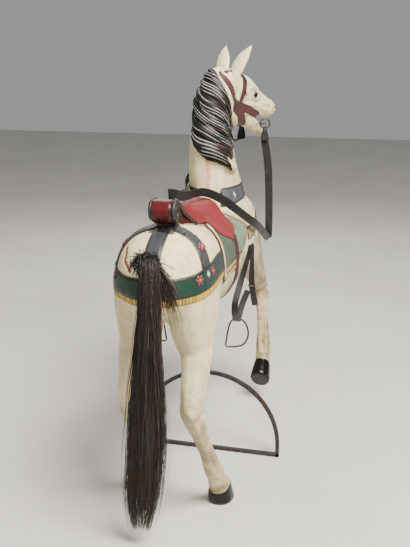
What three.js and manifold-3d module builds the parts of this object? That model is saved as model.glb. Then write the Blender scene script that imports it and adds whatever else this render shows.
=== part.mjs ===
// A carved and painted wooden carousel horse, about 1.2 m tall, held up by an iron arch stand.
// Millimetres. +Z is up, +X is the way the horse faces, +Y is its left side.
// The origin is the middle of the stand's straight foot bar, on the floor.
//
// Separate real pieces: the carved horse, with its saddle, harness straps and mane cut from the
// same wood; the horsehair tail; the welded stand; two bit rings; the rein; two stirrup leathers
// with their buckles; and two stirrup irons.
import * as THREE from "three";
import { mergeVertices } from "three/addons/utils/BufferGeometryUtils.js";
import Module from "manifold-3d";

const wasm = await Module();
wasm.setup();

const CLEAR = 0.3; // gap between separate pieces that touch
const WELD = 2.6; // carving finer than this is left to the surface finish
const RIGHT = -1;
const LEFT = 1;
const UP = new THREE.Vector3(0, 0, 1);
const degrees = THREE.MathUtils.degToRad;

// ---------------------------------------------------------------- driving dimensions

const STAND = { bar: 11, halfWidth: 213, archCentre: 37, postRadius: 6, belly: 508, socket: 32 };
const HOOF = { topWide: 28, soleWide: 34, toe: 49, heel: 34, high: 60, level: 0.56, sides: 12 };
const FORE_HOOF = { ...HOOF, toe: 44, heel: 38, high: 67, level: 0.9 };
const HEAD = { poll: [190, -6, 1074], yaw: -24, pitch: 20 };

// Stations of the lofts. at: centre; wide: half width across the limb; crest: reach towards the
// top line, the crest or the front of a leg; keel: reach the other way; box: 2 is an ellipse and
// more is squarer; pinch: how much narrower the keel side is than the crest side.
const TRUNK = [
  { at: [-522, 0, 690], wide: 8, crest: 10, keel: 14 },
  { at: [-510, 0, 684], wide: 52, crest: 52, keel: 78 },
  { at: [-478, 0, 668], wide: 92, crest: 90, keel: 98, box: 2.2 },
  { at: [-425, 0, 652], wide: 116, crest: 116, keel: 108, box: 2.2 },
  { at: [-360, 0, 642], wide: 124, crest: 122, keel: 118, box: 2.25 },
  { at: [-270, 0, 630], wide: 121, crest: 118, keel: 118, box: 2.25 },
  { at: [-160, 0, 620], wide: 119, crest: 119, keel: 108, box: 2.25 },
  { at: [-50, 0, 620], wide: 118, crest: 124, keel: 109, box: 2.25 },
  { at: [60, 0, 628], wide: 116, crest: 134, keel: 118, box: 2.2 },
  { at: [150, 0, 636], wide: 103, crest: 132, keel: 124, box: 2.2 },
  { at: [230, 0, 645], wide: 88, crest: 112, keel: 118, box: 2.2 },
  { at: [290, 0, 652], wide: 78, crest: 82, keel: 90, box: 2.1 },
  { at: [322, 0, 655], wide: 44, crest: 46, keel: 52 },
  { at: [332, 0, 656], wide: 8, crest: 8, keel: 10 },
];

const NECK = [
  { at: [160, 5, 610], wide: 80, crest: 140, keel: 120, box: 2.1 },
  { at: [148, 8, 700], wide: 80, crest: 140, keel: 122, box: 2.1 },
  { at: [124, 14, 775], wide: 71, crest: 122, keel: 104, box: 2.15 },
  { at: [102, 18, 850], wide: 63, crest: 104, keel: 84, box: 2.2 },
  { at: [94, 18, 920], wide: 58, crest: 90, keel: 72, box: 2.2 },
  { at: [104, 13, 985], wide: 50, crest: 80, keel: 66, box: 2.1 },
  { at: [130, 5, 1038], wide: 44, crest: 66, keel: 56, box: 2.1 },
  { at: [168, -4, 1070], wide: 36, crest: 44, keel: 42 },
  { at: [202, -9, 1084], wide: 14, crest: 16, keel: 16 },
];

// In the head's own frame: the poll is the origin, +X runs down the face and +Z out of it.
const SKULL = [
  { at: [-46, 0, -24], wide: 8, crest: 8, keel: 10 },
  { at: [-34, 0, -22], wide: 30, crest: 34, keel: 48 },
  { at: [2, 0, -14], wide: 42, crest: 44, keel: 92, pinch: 0.1 },
  { at: [42, 0, -8], wide: 46, crest: 46, keel: 110, pinch: 0.25 },
  { at: [74, 0, -6], wide: 45, crest: 44, keel: 108, pinch: 0.35 },
  { at: [104, 0, -4], wide: 38, crest: 34, keel: 100, pinch: 0.35 },
  { at: [140, 0, -6], wide: 29, crest: 25, keel: 76, pinch: 0.2 },
  { at: [176, 0, -10], wide: 26, crest: 24, keel: 44, box: 2.2 },
  { at: [205, 0, -14], wide: 29, crest: 26, keel: 32, box: 2.4 },
  { at: [226, 0, -18], wide: 26, crest: 22, keel: 25, box: 2.4 },
  { at: [234, 0, -20], wide: 14, crest: 11, keel: 12 },
];
const LOWER_JAW = [
  { at: [70, 0, -74], wide: 10, crest: 10, keel: 16 },
  { at: [98, 0, -78], wide: 20, crest: 24, keel: 28 },
  { at: [130, 0, -78], wide: 20, crest: 24, keel: 26 },
  { at: [160, 0, -80], wide: 17, crest: 18, keel: 22 },
  { at: [184, 0, -88], wide: 18, crest: 12, keel: 20, box: 2.3 },
  { at: [200, 0, -92], wide: 17, crest: 11, keel: 17, box: 2.3 },
  { at: [208, 0, -93], wide: 7, crest: 5, keel: 6 },
];
const EAR = [
  { at: [0, 0, -24], wide: 13, crest: 10, keel: 10 },
  { at: [0, 1, 0], wide: 21, crest: 11, keel: 11 },
  { at: [7, 6, 20], wide: 26, crest: 10, keel: 10 },
  { at: [20, 13, 43], wide: 23, crest: 8.5, keel: 8.5 },
  { at: [35, 20, 64], wide: 13, crest: 5.5, keel: 5.5 },
  { at: [47, 24, 79], wide: 3.4, crest: 2.4, keel: 2.4 },
];

// Legs are given for the left side; y is measured out from the body's middle plane.
const HIND_THIGH = [
  { at: [-398, 46, 700], wide: 40, crest: 60, keel: 70 },
  { at: [-395, 64, 640], wide: 59, crest: 92, keel: 100, box: 2.1 },
  { at: [-390, 66, 575], wide: 60, crest: 92, keel: 98, box: 2.1 },
  { at: [-394, 65, 522], wide: 56, crest: 78, keel: 84, box: 2.1 },
  { at: [-404, 71, 478], wide: 45, crest: 57, keel: 61, box: 2.1 },
  { at: [-414, 76, 444], wide: 29, crest: 34, keel: 38 },
  { at: [-418, 77, 432], wide: 10, crest: 12, keel: 14 },
];
const HIND_SHANK = [
  { at: [-400, 73, 500], wide: 40, crest: 56, keel: 52 },
  { at: [-410, 77, 460], wide: 40, crest: 49, keel: 46, box: 2.2 },
  { at: [-430, 79, 412], wide: 33, crest: 40, keel: 39, box: 2.3 },
  { at: [-450, 78, 364], wide: 30, crest: 35, keel: 38, box: 2.4 },
  { at: [-452, 76, 330], wide: 30, crest: 33, keel: 37, box: 2.4 },
  { at: [-430, 79, 288], wide: 25, crest: 26, keel: 27, box: 2.2 },
  { at: [-399, 84, 237], wide: 20, crest: 20, keel: 21, box: 2.2 },
  { at: [-364, 90, 180], wide: 20, crest: 19, keel: 20, box: 2.2 },
  { at: [-336, 95, 132], wide: 23, crest: 22, keel: 24, box: 2.2 },
  { at: [-314, 99, 94], wide: 26, crest: 24, keel: 25 },
  { at: [-294, 102, 56], wide: 27, crest: 26, keel: 26 },
  { at: [-290, 103, 40], wide: 17, crest: 17, keel: 17 },
];
// The right foreleg reaches down; the left one is lifted, and folds back from the knee.
const UPPER_ARM = [
  { at: [150, 46, 690], wide: 40, crest: 60, keel: 60 },
  { at: [180, 58, 620], wide: 46, crest: 84, keel: 82, box: 2.1 },
  { at: [222, 66, 556], wide: 42, crest: 66, keel: 64, box: 2.1 },
  { at: [262, 71, 508], wide: 36, crest: 50, keel: 46, box: 2.1 },
  { at: [322, 71, 464], wide: 32, crest: 36, keel: 34, box: 2.2 },
  { at: [388, 65, 428], wide: 29, crest: 28, keel: 27, box: 2.2 },
  { at: [436, 61, 402], wide: 28, crest: 25, keel: 24, box: 2.3 },
  { at: [449, 61, 395], wide: 12, crest: 13, keel: 12 },
];
const FORE_CANNON = [
  { at: [431, 61, 432], wide: 13, crest: 14, keel: 12 },
  { at: [433, 61, 414], wide: 28, crest: 26, keel: 22, box: 2.3 },
  { at: [434, 63, 380], wide: 28, crest: 24, keel: 22, box: 2.3 },
  { at: [431, 68, 346], wide: 24, crest: 20, keel: 21, box: 2.2 },
  { at: [427, 74, 308], wide: 19, crest: 17, keel: 18, box: 2.2 },
  { at: [424, 77, 268], wide: 20, crest: 17, keel: 18, box: 2.2 },
  { at: [422, 79, 232], wide: 21, crest: 18, keel: 20, box: 2.2 },
  { at: [420, 80, 198], wide: 24, crest: 21, keel: 24, box: 2.2 },
  { at: [417, 81, 166], wide: 25, crest: 22, keel: 24 },
  { at: [410, 81, 138], wide: 25, crest: 24, keel: 24 },
  { at: [404, 81, 122], wide: 15, crest: 14, keel: 14 },
];
const LIFTED_ARM = [
  { at: [150, 46, 690], wide: 40, crest: 60, keel: 60 },
  { at: [180, 58, 622], wide: 46, crest: 84, keel: 82, box: 2.1 },
  { at: [224, 67, 566], wide: 42, crest: 64, keel: 62, box: 2.1 },
  { at: [270, 74, 530], wide: 36, crest: 48, keel: 46, box: 2.1 },
  { at: [330, 80, 500], wide: 32, crest: 36, keel: 34, box: 2.2 },
  { at: [392, 84, 482], wide: 28, crest: 28, keel: 27, box: 2.2 },
  { at: [434, 86, 468], wide: 27, crest: 25, keel: 24, box: 2.3 },
  { at: [447, 86, 463], wide: 12, crest: 13, keel: 12 },
];
const LIFTED_CANNON = [
  { at: [441, 86, 496], wide: 13, crest: 14, keel: 12 },
  { at: [435, 86, 480], wide: 27, crest: 25, keel: 22, box: 2.3 },
  { at: [420, 87, 449], wide: 27, crest: 24, keel: 22, box: 2.3 },
  { at: [397, 89, 418], wide: 23, crest: 20, keel: 20, box: 2.2 },
  { at: [372, 91, 389], wide: 19, crest: 17, keel: 18, box: 2.2 },
  { at: [346, 93, 360], wide: 20, crest: 17, keel: 18, box: 2.2 },
  { at: [322, 95, 333], wide: 21, crest: 18, keel: 20, box: 2.2 },
  { at: [300, 96, 308], wide: 24, crest: 21, keel: 24, box: 2.2 },
  { at: [280, 97, 284], wide: 25, crest: 23, keel: 24 },
  { at: [262, 98, 262], wide: 25, crest: 24, keel: 24 },
  { at: [252, 98, 252], wide: 15, crest: 14, keel: 14 },
];


const RELIEF = { strap: 4, blanket: 5, saddle: 11, mane: 10, sunk: 7 }; // how far carving stands out
const BACK = { x: [-255, -112], axisZ: 622 }; // the blanket's top edges, and the axis it wraps round
const BREECHING = { rear: 665, front: 691, high: 42, fringe: 19 };
const COLLAR = { low: 744, high: 784 };
const BREAST_BAND = { low: 652, high: 682 };
const GIRTH = { x: -178, wide: 38 };
const CANTLE = { roll: [-415, -2, 800], radius: 27, halfWidth: 25 };
const LOCKS = 8; // locks of mane

// Straps carved on the horse, as points near the surface that they are laid on.
const CRUPPER = [[-372, 0, 775], [-405, 0, 763], [-445, 0, 750], [-480, 0, 732], [-508, 0, 704]];
const BRANCH = [[-400, 8, 765], [-411, 38, 758], [-413, 60, 750], [-417, 80, 735], [-425, 94, 716],
  [-433, 106, 689], [-436, 110, 672]];
const CROWN_PIECE = [[99, 8, 1088], [94, 26, 1072], [102, 40, 1054], [128, 45, 1028], [185, 39, 998],
  [208, 40, 969], [214, 34, 945]];
const BROW_PIECE = [[222, 10, 1100], [210, 36, 1090], [207, 56, 1070],
  [206, 57, 1047], [192, 50, 1024], [170, 46, 1008]];
const CHEEK_PIECE = [[192, 43, 1001], [232, 55, 987], [262, 63, 976], [285, 66, 962]];

const RING_ON_HEAD = [163, 44, -78]; // the left ring's middle, in the head's frame
// The rein's knots, each with the way that the strap's width points: down from the right ring to
// a sharp bend, up over the shoulder, on edge along the seat, round before the cantle, and back to
// the left ring.
const REIN_KNOTS = [
  { at: [301, -106, 840], across: [0.33, -0.94, 0] },
  { at: [307, -110, 760], across: [0.32, -0.95, 0] },
  { at: [306, -112, 680], across: [0.3, -0.95, 0] },
  { at: [303, -113, 610], across: [0.2, -0.9, 0.3] },
  { at: [298, -114, 590], across: [0.1, -0.75, 0.6] },
  { at: [284, -115, 592], across: [0, -0.5, 0.85] },
  { at: [160, -122, 640], across: [0, -0.45, 0.9] },
  { at: [60, -128, 678], across: [0.2, -0.3, 0.92] },
  { at: [8, -124, 698], across: [0.35, -0.25, 0.9] },
  { at: [-57, -99, 738], across: [0.5, -0.35, 0.8] },
  { at: [-86, -67, 771], across: [0.5, -0.5, 0.7] },
  { at: [-112, -36, 793], across: [0.3, -0.5, 0.8] },
  { at: [-142, -16, 804], across: [0, -0.3, 0.95] },
  { at: [-200, -10, 806], across: [0, -0.2, 1] },
  { at: [-290, -10, 812], across: [0, -0.1, 1] },
  { at: [-346, -13, 828], across: [0, -0.1, 1] },
  { at: [-364, 0, 834], across: [0, 0, 1] },
  { at: [-346, 13, 828], across: [0, 0.1, 1] },
  { at: [-290, 10, 812], across: [0, 0.1, 1] },
  { at: [-200, 10, 806], across: [0, 0.2, 1] },
  { at: [-142, 14, 804], across: [0, 0.3, 0.95] },
  { at: [-96, 30, 800], across: [0.2, 0.3, 0.95] },
  { at: [-40, 56, 784], across: [0.2, 0.3, 0.95] },
  { at: [30, 76, 778], across: [0, 0.1, 1] },
  { at: [70, 91, 784], across: [0, 0.1, 1] },
  { at: [112, 98, 794], across: [0, 0.1, 1] },
  { at: [180, 88, 822], across: [0, 0.2, 1] },
  { at: [238, 50, 862], across: [0, 0.4, 0.9] },
  { at: [286, 2, 900], across: [0.3, 0.9, 0.3] },
];
// The right stirrup leather, from its free end up through the buckle, over the bar beneath the
// saddle flap, and down round the eye of the stirrup to the buckle again.
const LEATHER_KNOTS = [
  { at: [-32, -141, 472], across: [0.5, -0.86, 0] },
  { at: [-56, -140, 506], across: [0.5, -0.86, 0] },
  { at: [-74, -139, 540], across: [0.55, -0.83, 0] },
  { at: [-79, -139, 575], across: [0.7, -0.7, 0] },
  { at: [-79, -140, 612], across: [0.9, -0.35, 0] },
  { at: [-82, -141, 646], across: [0.9, -0.35, 0.2] },
  { at: [-94, -141, 656], across: [0.8, -0.35, 0.5] },
  { at: [-112, -140, 646], across: [0.9, -0.35, -0.2] },
  { at: [-138, -138, 622], across: [0.8, -0.5, -0.4] },
  { at: [-168, -133, 592], across: [0.6, -0.7, -0.3] },
  { at: [-191, -128, 558], across: [0.4, -0.9, 0] },
  { at: [-207, -123, 530], across: [0.2, -0.98, 0] },
  { at: [-206, -122, 510], across: [0.2, -0.98, 0] },
  { at: [-184, -118, 486], across: [0.2, -0.98, 0] },
  { at: [-158, -115, 466], across: [0.2, -0.98, 0] },
  { at: [-138, -114, 455.2], across: [0.2, -0.98, 0] },
  { at: [-118, -115, 468], across: [0.2, -0.98, 0] },
  { at: [-106, -118, 490], across: [0.3, -0.95, 0] },
  { at: [-90, -132, 530], across: [0.5, -0.85, 0] },
];
const STIRRUP_EYE = [-138, -114, 461.6];
const STIRRUP_OUTLINE = [
  [0, 0], [11, 0], [22, -10], [29, -28], [30, -48], [21, -68], [8, -76], [-14, -78], [-31, -78],
  [-29, -62], [-26, -40], [-20, -12], [-11, 0],
]; // across and down from the eye
const KEEPER = { halfWidth: 11.8, halfDepth: 5, wire: 2 };
const RING = { radius: 15.5, wire: 2.6 };
const PIN_RADIUS = 2;
const REIN = { wide: 23, thick: 3, end: 34, gathered: 0.42 }; // gathered: how narrow it folds in a ring
const LEATHER = { wide: 17, thick: 3 };
const STIRRUP_WIRE = 2.8;
const TAIL = [
  { at: [-524, -4, 712], wide: 13, crest: 13, keel: 13 },
  { at: [-539, -5, 722], wide: 24, crest: 18, keel: 18 },
  { at: [-558, -7, 706], wide: 30, crest: 20, keel: 20 },
  { at: [-571, -9, 660], wide: 30, crest: 21, keel: 21 },
  { at: [-575, -9, 590], wide: 28, crest: 20, keel: 20 },
  { at: [-572, -7, 510], wide: 30, crest: 21, keel: 21 },
  { at: [-566, -3, 400], wide: 39, crest: 25, keel: 25 },
  { at: [-558, 6, 290], wide: 41, crest: 25, keel: 25 },
  { at: [-550, 16, 180], wide: 37, crest: 23, keel: 23 },
  { at: [-541, 26, 90], wide: 29, crest: 18, keel: 18 },
  { at: [-535, 30, 45], wide: 18, crest: 11, keel: 11 },
];

// ---------------------------------------------------------------- solids and lofts

/** A closed three.js geometry as a manifold-3d solid. */
function solid(geometry) {
  const bare = new THREE.BufferGeometry();
  bare.setAttribute("position", geometry.getAttribute("position"));
  if (geometry.index) bare.setIndex(geometry.index);
  const merged = mergeVertices(bare, 1e-3);
  return new wasm.Manifold(
    new wasm.Mesh({
      numProp: 3,
      vertProperties: merged.attributes.position.array,
      triVerts: new Uint32Array(merged.index.array),
    }),
  );
}

/** Three corner numbers as one key, whatever their order. */
const faceKey = (face) => face.toSorted((a, b) => a - b).join();

/** The same solid with corners closer than this welded, which drops sliver faces. */
function welded(made, tolerance) {
  const merged = mergeVertices(geometryOf(made).deleteAttribute("normal"), tolerance);
  const corners = Array.from(merged.index.array);
  const faces = [];
  for (let i = 0; i < corners.length; i += 3) faces.push(corners.slice(i, i + 3));
  const real = faces.filter(([a, b, c]) => a !== b && b !== c && c !== a);
  const uses = new Map();
  for (const face of real) uses.set(faceKey(face), (uses.get(faceKey(face)) ?? 0) + 1);
  const kept = real.filter((face) => uses.get(faceKey(face)) === 1);
  return new wasm.Manifold(
    new wasm.Mesh({
      numProp: 3,
      vertProperties: merged.attributes.position.array,
      triVerts: new Uint32Array(kept.flat()),
    }),
  );
}

/** A manifold-3d solid as a three.js geometry with flat faces. */
function geometryOf(made) {
  const mesh = made.getMesh();
  const position = new Float32Array(mesh.numVert * 3);
  for (let i = 0; i < mesh.numVert; i++) {
    position.set(mesh.vertProperties.subarray(i * mesh.numProp, i * mesh.numProp + 3), i * 3);
  }
  const geometry = new THREE.BufferGeometry();
  geometry.setAttribute("position", new THREE.BufferAttribute(position, 3));
  geometry.setIndex(new THREE.BufferAttribute(new Uint32Array(mesh.triVerts), 1));
  geometry.computeVertexNormals();
  return geometry;
}

/** One value of a station, with what it is when it isn't given. */
const stationValue = (station, key) => station[key] ?? { box: 2, pinch: 0 }[key];

/** The value between p1 and p2 on the smooth curve through four values. */
function smoothBetween(p0, p1, p2, p3, t) {
  const v0 = (p2 - p0) / 2;
  const v1 = (p3 - p1) / 2;
  return (
    (2 * p1 - 2 * p2 + v0 + v1) * t ** 3 +
    (-3 * p1 + 3 * p2 - 2 * v0 - v1) * t ** 2 +
    v0 * t +
    p1
  );
}

/**
 * A limb: a smooth run of sections through its stations. point(s, angle, lift) is the place on
 * its surface at s from 0 to 1 along it and at an angle round it, lifted off by lift: 0 is the
 * left side, a quarter turn is the crest, a half turn is the right side.
 */
function limb(stations, across = new THREE.Vector3(0, 1, 0)) {
  const path = new THREE.CatmullRomCurve3(
    stations.map((s) => new THREE.Vector3(...s.at)),
    false,
    "catmullrom",
  );
  const last = stations.length - 1;
  const value = (key, s) => {
    const i = Math.min(Math.floor(s * last), last - 1);
    const at = (j) => stationValue(stations[Math.min(Math.max(j, 0), last)], key);
    return Math.max(smoothBetween(at(i - 1), at(i), at(i + 1), at(i + 2), s * last - i), 0.5);
  };
  const point = (s, angle, lift = 0) => {
    const along = path.getTangent(s);
    const side = across.clone().addScaledVector(along, -across.dot(along)).normalize();
    const out = new THREE.Vector3().crossVectors(along, side);
    const power = 2 / value("box", s);
    const c = Math.cos(angle);
    const d = Math.sin(angle);
    const pinch = 1 - (stationValue(stations[Math.round(s * last)], "pinch") * (1 - d)) / 2;
    const wide = (value("wide", s) + lift) * pinch * Math.sign(c) * Math.abs(c) ** power;
    const reach = (value(d > 0 ? "crest" : "keel", s) + lift) * Math.sign(d) * Math.abs(d) ** power;
    return path.getPoint(s).addScaledVector(side, wide).addScaledVector(out, reach);
  };
  return { point, path, stations };
}

/** The solid of a limb, with rings between its stations and sides round it. */
function loft(made, sides, ringsEach, lift = 0) {
  const rings = (made.stations.length - 1) * ringsEach;
  const position = [];
  const faces = [];
  for (let k = 0; k <= rings; k++) {
    for (let i = 0; i < sides; i++) {
      position.push(...made.point(k / rings, (2 * Math.PI * i) / sides, lift).toArray());
    }
  }
  const corner = (k, i) => k * sides + (i % sides);
  for (let k = 0; k < rings; k++) {
    for (let i = 0; i < sides; i++) {
      faces.push(corner(k, i), corner(k, i + 1), corner(k + 1, i + 1));
      faces.push(corner(k, i), corner(k + 1, i + 1), corner(k + 1, i));
    }
  }
  const start = position.length / 3;
  const grow = made.path.getTangent(0).multiplyScalar(-lift);
  position.push(...made.path.getPoint(0).add(grow).toArray());
  position.push(...made.path.getPoint(1).sub(grow).toArray());
  for (let i = 0; i < sides; i++) {
    faces.push(start, corner(0, i + 1), corner(0, i));
    faces.push(start + 1, corner(rings, i), corner(rings, i + 1));
  }
  const geometry = new THREE.BufferGeometry();
  geometry.setAttribute("position", new THREE.Float32BufferAttribute(position, 3));
  geometry.setIndex(faces);
  return solid(geometry);
}

/** Stations given for the left side, put on the side asked for. */
function onSide(stations, side) {
  return stations.map((s) => ({ ...s, at: [s.at[0], s.at[1] * side, s.at[2]] }));
}

/** All of these solids fused. */
const fused = (solids) => solids.reduce((all, next) => all.add(next));


// ---------------------------------------------------------------- relief on the carved body

/** A closed solid between a grid of outer points and a grid of inner ones. at(u, v) gives both. */
function slab(columns, rows, at) {
  const position = [];
  const faces = [];
  for (const layer of ["outer", "inner"]) {
    for (let j = 0; j <= rows; j++) {
      for (let i = 0; i <= columns; i++) position.push(...at(i / columns, j / rows)[layer].toArray());
    }
  }
  const layerSize = (columns + 1) * (rows + 1);
  const corner = (i, j, inner) => inner * layerSize + j * (columns + 1) + i;
  const quad = (a, b, c, d) => faces.push(a, b, c, a, c, d);
  for (let j = 0; j < rows; j++) {
    for (let i = 0; i < columns; i++) {
      quad(corner(i, j, 0), corner(i + 1, j, 0), corner(i + 1, j + 1, 0), corner(i, j + 1, 0));
      quad(corner(i, j, 1), corner(i, j + 1, 1), corner(i + 1, j + 1, 1), corner(i + 1, j, 1));
    }
  }
  for (let i = 0; i < columns; i++) {
    quad(corner(i, 0, 0), corner(i, 0, 1), corner(i + 1, 0, 1), corner(i + 1, 0, 0));
    quad(corner(i, rows, 0), corner(i + 1, rows, 0), corner(i + 1, rows, 1), corner(i, rows, 1));
  }
  for (let j = 0; j < rows; j++) {
    quad(corner(0, j, 0), corner(0, j + 1, 0), corner(0, j + 1, 1), corner(0, j, 1));
    quad(corner(columns, j, 0), corner(columns, j, 1), corner(columns, j + 1, 1), corner(columns, j + 1, 0));
  }
  const geometry = new THREE.BufferGeometry();
  geometry.setAttribute("position", new THREE.Float32BufferAttribute(position, 3));
  geometry.setIndex(faces);
  const made = solid(geometry);
  return made.volume() > 0 ? made : solid(flipped(geometry));
}

/** A geometry with its faces turned round. */
function flipped(geometry) {
  const index = Array.from(geometry.index.array);
  for (let i = 0; i < index.length; i += 3) [index[i], index[i + 1]] = [index[i + 1], index[i]];
  geometry.setIndex(index);
  return geometry;
}

/** Finds where a line from inside a body leaves it for good. */
function surfaceOf(body) {
  const mesh = new THREE.Mesh(geometryOf(body), new THREE.MeshBasicMaterial({ side: THREE.DoubleSide }));
  const caster = new THREE.Raycaster();
  return (from, towards) => {
    caster.set(from, towards);
    const hits = caster.intersectObject(mesh);
    return hits.length ? hits[hits.length - 1].point : from.clone();
  };
}

/** Carving laid on a body: lines(u, v) gives where each line starts, where it goes and its height. */
function laidOn(surface, columns, rows, lines, sunk = RELIEF.sunk) {
  return slab(columns, rows, (u, v) => {
    const { from, towards, high } = lines(u, v);
    const skin = surface(from, towards);
    return {
      outer: skin.clone().addScaledVector(towards, high),
      inner: skin.clone().addScaledVector(towards, -sunk),
    };
  });
}

/** A strap laid on a body along points near its surface, seen from a centre inside it. */
function strapOn(surface, points, centre, wide, high, steps = points.length - 1) {
  const curve = new THREE.CatmullRomCurve3(points.map((p) => new THREE.Vector3(...p)));
  return laidOn(surface, steps, 1, (u, v) => {
    const place = curve.getPoint(u);
    const out = place.clone().sub(centre).normalize();
    const side = new THREE.Vector3().crossVectors(out, curve.getTangent(u)).normalize();
    place.addScaledVector(side, (v - 0.5) * wide);
    return { from: centre, towards: place.sub(centre).normalize(), high };
  });
}

/** A level band round a body, from one heading to another. */
function bandRound(surface, centre, headings, { low, high }, columns, proud) {
  return laidOn(surface, columns, 1, (u, v) => {
    const heading = degrees(THREE.MathUtils.lerp(headings[0], headings[1], u));
    const towards = new THREE.Vector3(Math.cos(heading), Math.sin(heading), 0);
    return { from: centre.clone().setZ(THREE.MathUtils.lerp(low, high, v)), towards, high: proud };
  });
}

/** A direction across the horse: 0 degrees is up, 90 is its left and -90 its right. */
const roundBack = (turn) => new THREE.Vector3(0, Math.sin(degrees(turn)), Math.cos(degrees(turn)));

/** 0 below a, 1 above b, and a smooth change between. */
const ease = (value, a, b) => THREE.MathUtils.smoothstep(value, a, b);

// ---------------------------------------------------------------- the carved horse

/** Where the head's own frame stands on the horse. */
function headFrame(pitch) {
  return new THREE.Matrix4()
    .makeTranslation(...HEAD.poll)
    .multiply(new THREE.Matrix4().makeRotationZ(degrees(HEAD.yaw)))
    .multiply(new THREE.Matrix4().makeRotationY(degrees(pitch)));
}

/** A solid moved by a matrix. */
const moved = (made, matrix) => solid(geometryOf(made).applyMatrix4(matrix));

function headSolids() {
  const face = headFrame(HEAD.pitch);
  return [moved(loft(limb(SKULL), 12, 1), face), moved(loft(limb(LOWER_JAW), 8, 1), face)];
}

function earSolids() {
  return [LEFT, RIGHT].map((side) => {
    const place = new THREE.Matrix4().makeTranslation(4, 23 * side, 22);
    return moved(loft(limb(onSide(EAR, side)), 8, 1), headFrame(0).multiply(place));
  });
}

/** A hoof: wider at the sole, longer and higher in front, tipped toe down and turned. */
function hoof(at, { tip = 0, turn = 0 }, size = HOOF) {
  const inset = size.soleWide - size.topWide;
  const levels = [
    { up: 0, grow: 3, along: 2 },
    { up: 0.06, grow: 0, along: 0 },
    { up: 0.9, grow: inset, along: -9 },
    { up: 1, grow: inset + 6, along: -11 },
  ];
  const position = [];
  const faces = [];
  for (const { up, grow, along } of levels) {
    for (let i = 0; i < size.sides; i++) {
      const c = Math.cos((2 * Math.PI * i) / size.sides);
      const d = Math.sin((2 * Math.PI * i) / size.sides);
      const reach = c > 0 ? size.toe : size.heel;
      const high = size.high * THREE.MathUtils.lerp(size.level, 1, (1 + c) / 2);
      position.push(c * (reach - grow) + along, d * (size.soleWide - grow), up * high);
    }
  }
  const corner = (k, i) => k * size.sides + (i % size.sides);
  for (let k = 0; k < levels.length - 1; k++) {
    for (let i = 0; i < size.sides; i++) {
      faces.push(corner(k, i), corner(k, i + 1), corner(k + 1, i + 1));
      faces.push(corner(k, i), corner(k + 1, i + 1), corner(k + 1, i));
    }
  }
  const top = levels.length - 1;
  for (let i = 1; i < size.sides - 1; i++) {
    faces.push(corner(0, 0), corner(0, i + 1), corner(0, i));
    faces.push(corner(top, 0), corner(top, i), corner(top, i + 1));
  }
  const geometry = new THREE.BufferGeometry();
  geometry.setAttribute("position", new THREE.Float32BufferAttribute(position, 3));
  geometry.setIndex(faces);
  geometry.rotateY(degrees(tip)).rotateZ(degrees(turn)).translate(...at);
  return solid(geometry);
}

function legSolids() {
  const solids = [];
  for (const side of [LEFT, RIGHT]) {
    solids.push(loft(limb(onSide(HIND_THIGH, side)), 12, 1));
    solids.push(loft(limb(onSide(HIND_SHANK, side)), 10, 1));
    solids.push(hoof([-277, 104 * side, 0], { turn: 18 * side }));
  }
  solids.push(loft(limb(onSide(UPPER_ARM, RIGHT)), 10, 1));
  solids.push(loft(limb(onSide(FORE_CANNON, RIGHT)), 10, 1));
  solids.push(hoof([364, 81 * RIGHT, 87], { tip: 55 }, FORE_HOOF));
  solids.push(loft(limb(LIFTED_ARM), 10, 1));
  solids.push(loft(limb(LIFTED_CANNON), 10, 1));
  solids.push(hoof([215, 99, 254], { tip: 88 }, FORE_HOOF));
  return solids;
}

/** The blanket, saddle flaps, seat and cantle roll. */
function saddleSolids(surface) {
  const from = (x) => new THREE.Vector3(x, 0, BACK.axisZ);
  const blanket = laidOn(surface, 14, 3, (u, v) => {
    const turn = THREE.MathUtils.lerp(-91, 91, u);
    const down = Math.abs(turn);
    const rear = BACK.x[0] - 76 * ease(down, 15, 75);
    const front = BACK.x[1] + 98 * ease(down, 12, 62) - 175 * ease(down, 64, 92) ** 1.3;
    return {
      from: from(THREE.MathUtils.lerp(rear, front, v)),
      towards: roundBack(turn),
      high: RELIEF.blanket,
    };
  });
  const saddle = laidOn(surface, 14, 4, (u, v) => {
    const turn = THREE.MathUtils.lerp(-60, 60, u);
    const down = Math.abs(turn);
    const rear = -345 + 87 * ease(down, 5, 27) + 64 * ease(down, 30, 60) ** 1.6;
    const front = -90 - 16 * ease(down, 0, 45) - 76 * ease(down, 46, 61);
    const x = THREE.MathUtils.lerp(rear, front, v);
    const seat = (27 + 9 * ease(Math.abs(x + 170), 30, 150)) * (1 - ease(down, 10, 34));
    return { from: from(x), towards: roundBack(turn), high: RELIEF.saddle + seat };
  });
  const girth = laidOn(surface, 10, 1, (u, v) => {
    const turn = THREE.MathUtils.lerp(56, 304, u);
    const x = GIRTH.x + 22 * ease(Math.abs(turn - 180), 90, 124) + (v - 0.5) * GIRTH.wide;
    return { from: from(x), towards: roundBack(turn), high: RELIEF.strap + 3 };
  });
  return [blanket, saddle, girth, cantle()];
}

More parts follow.
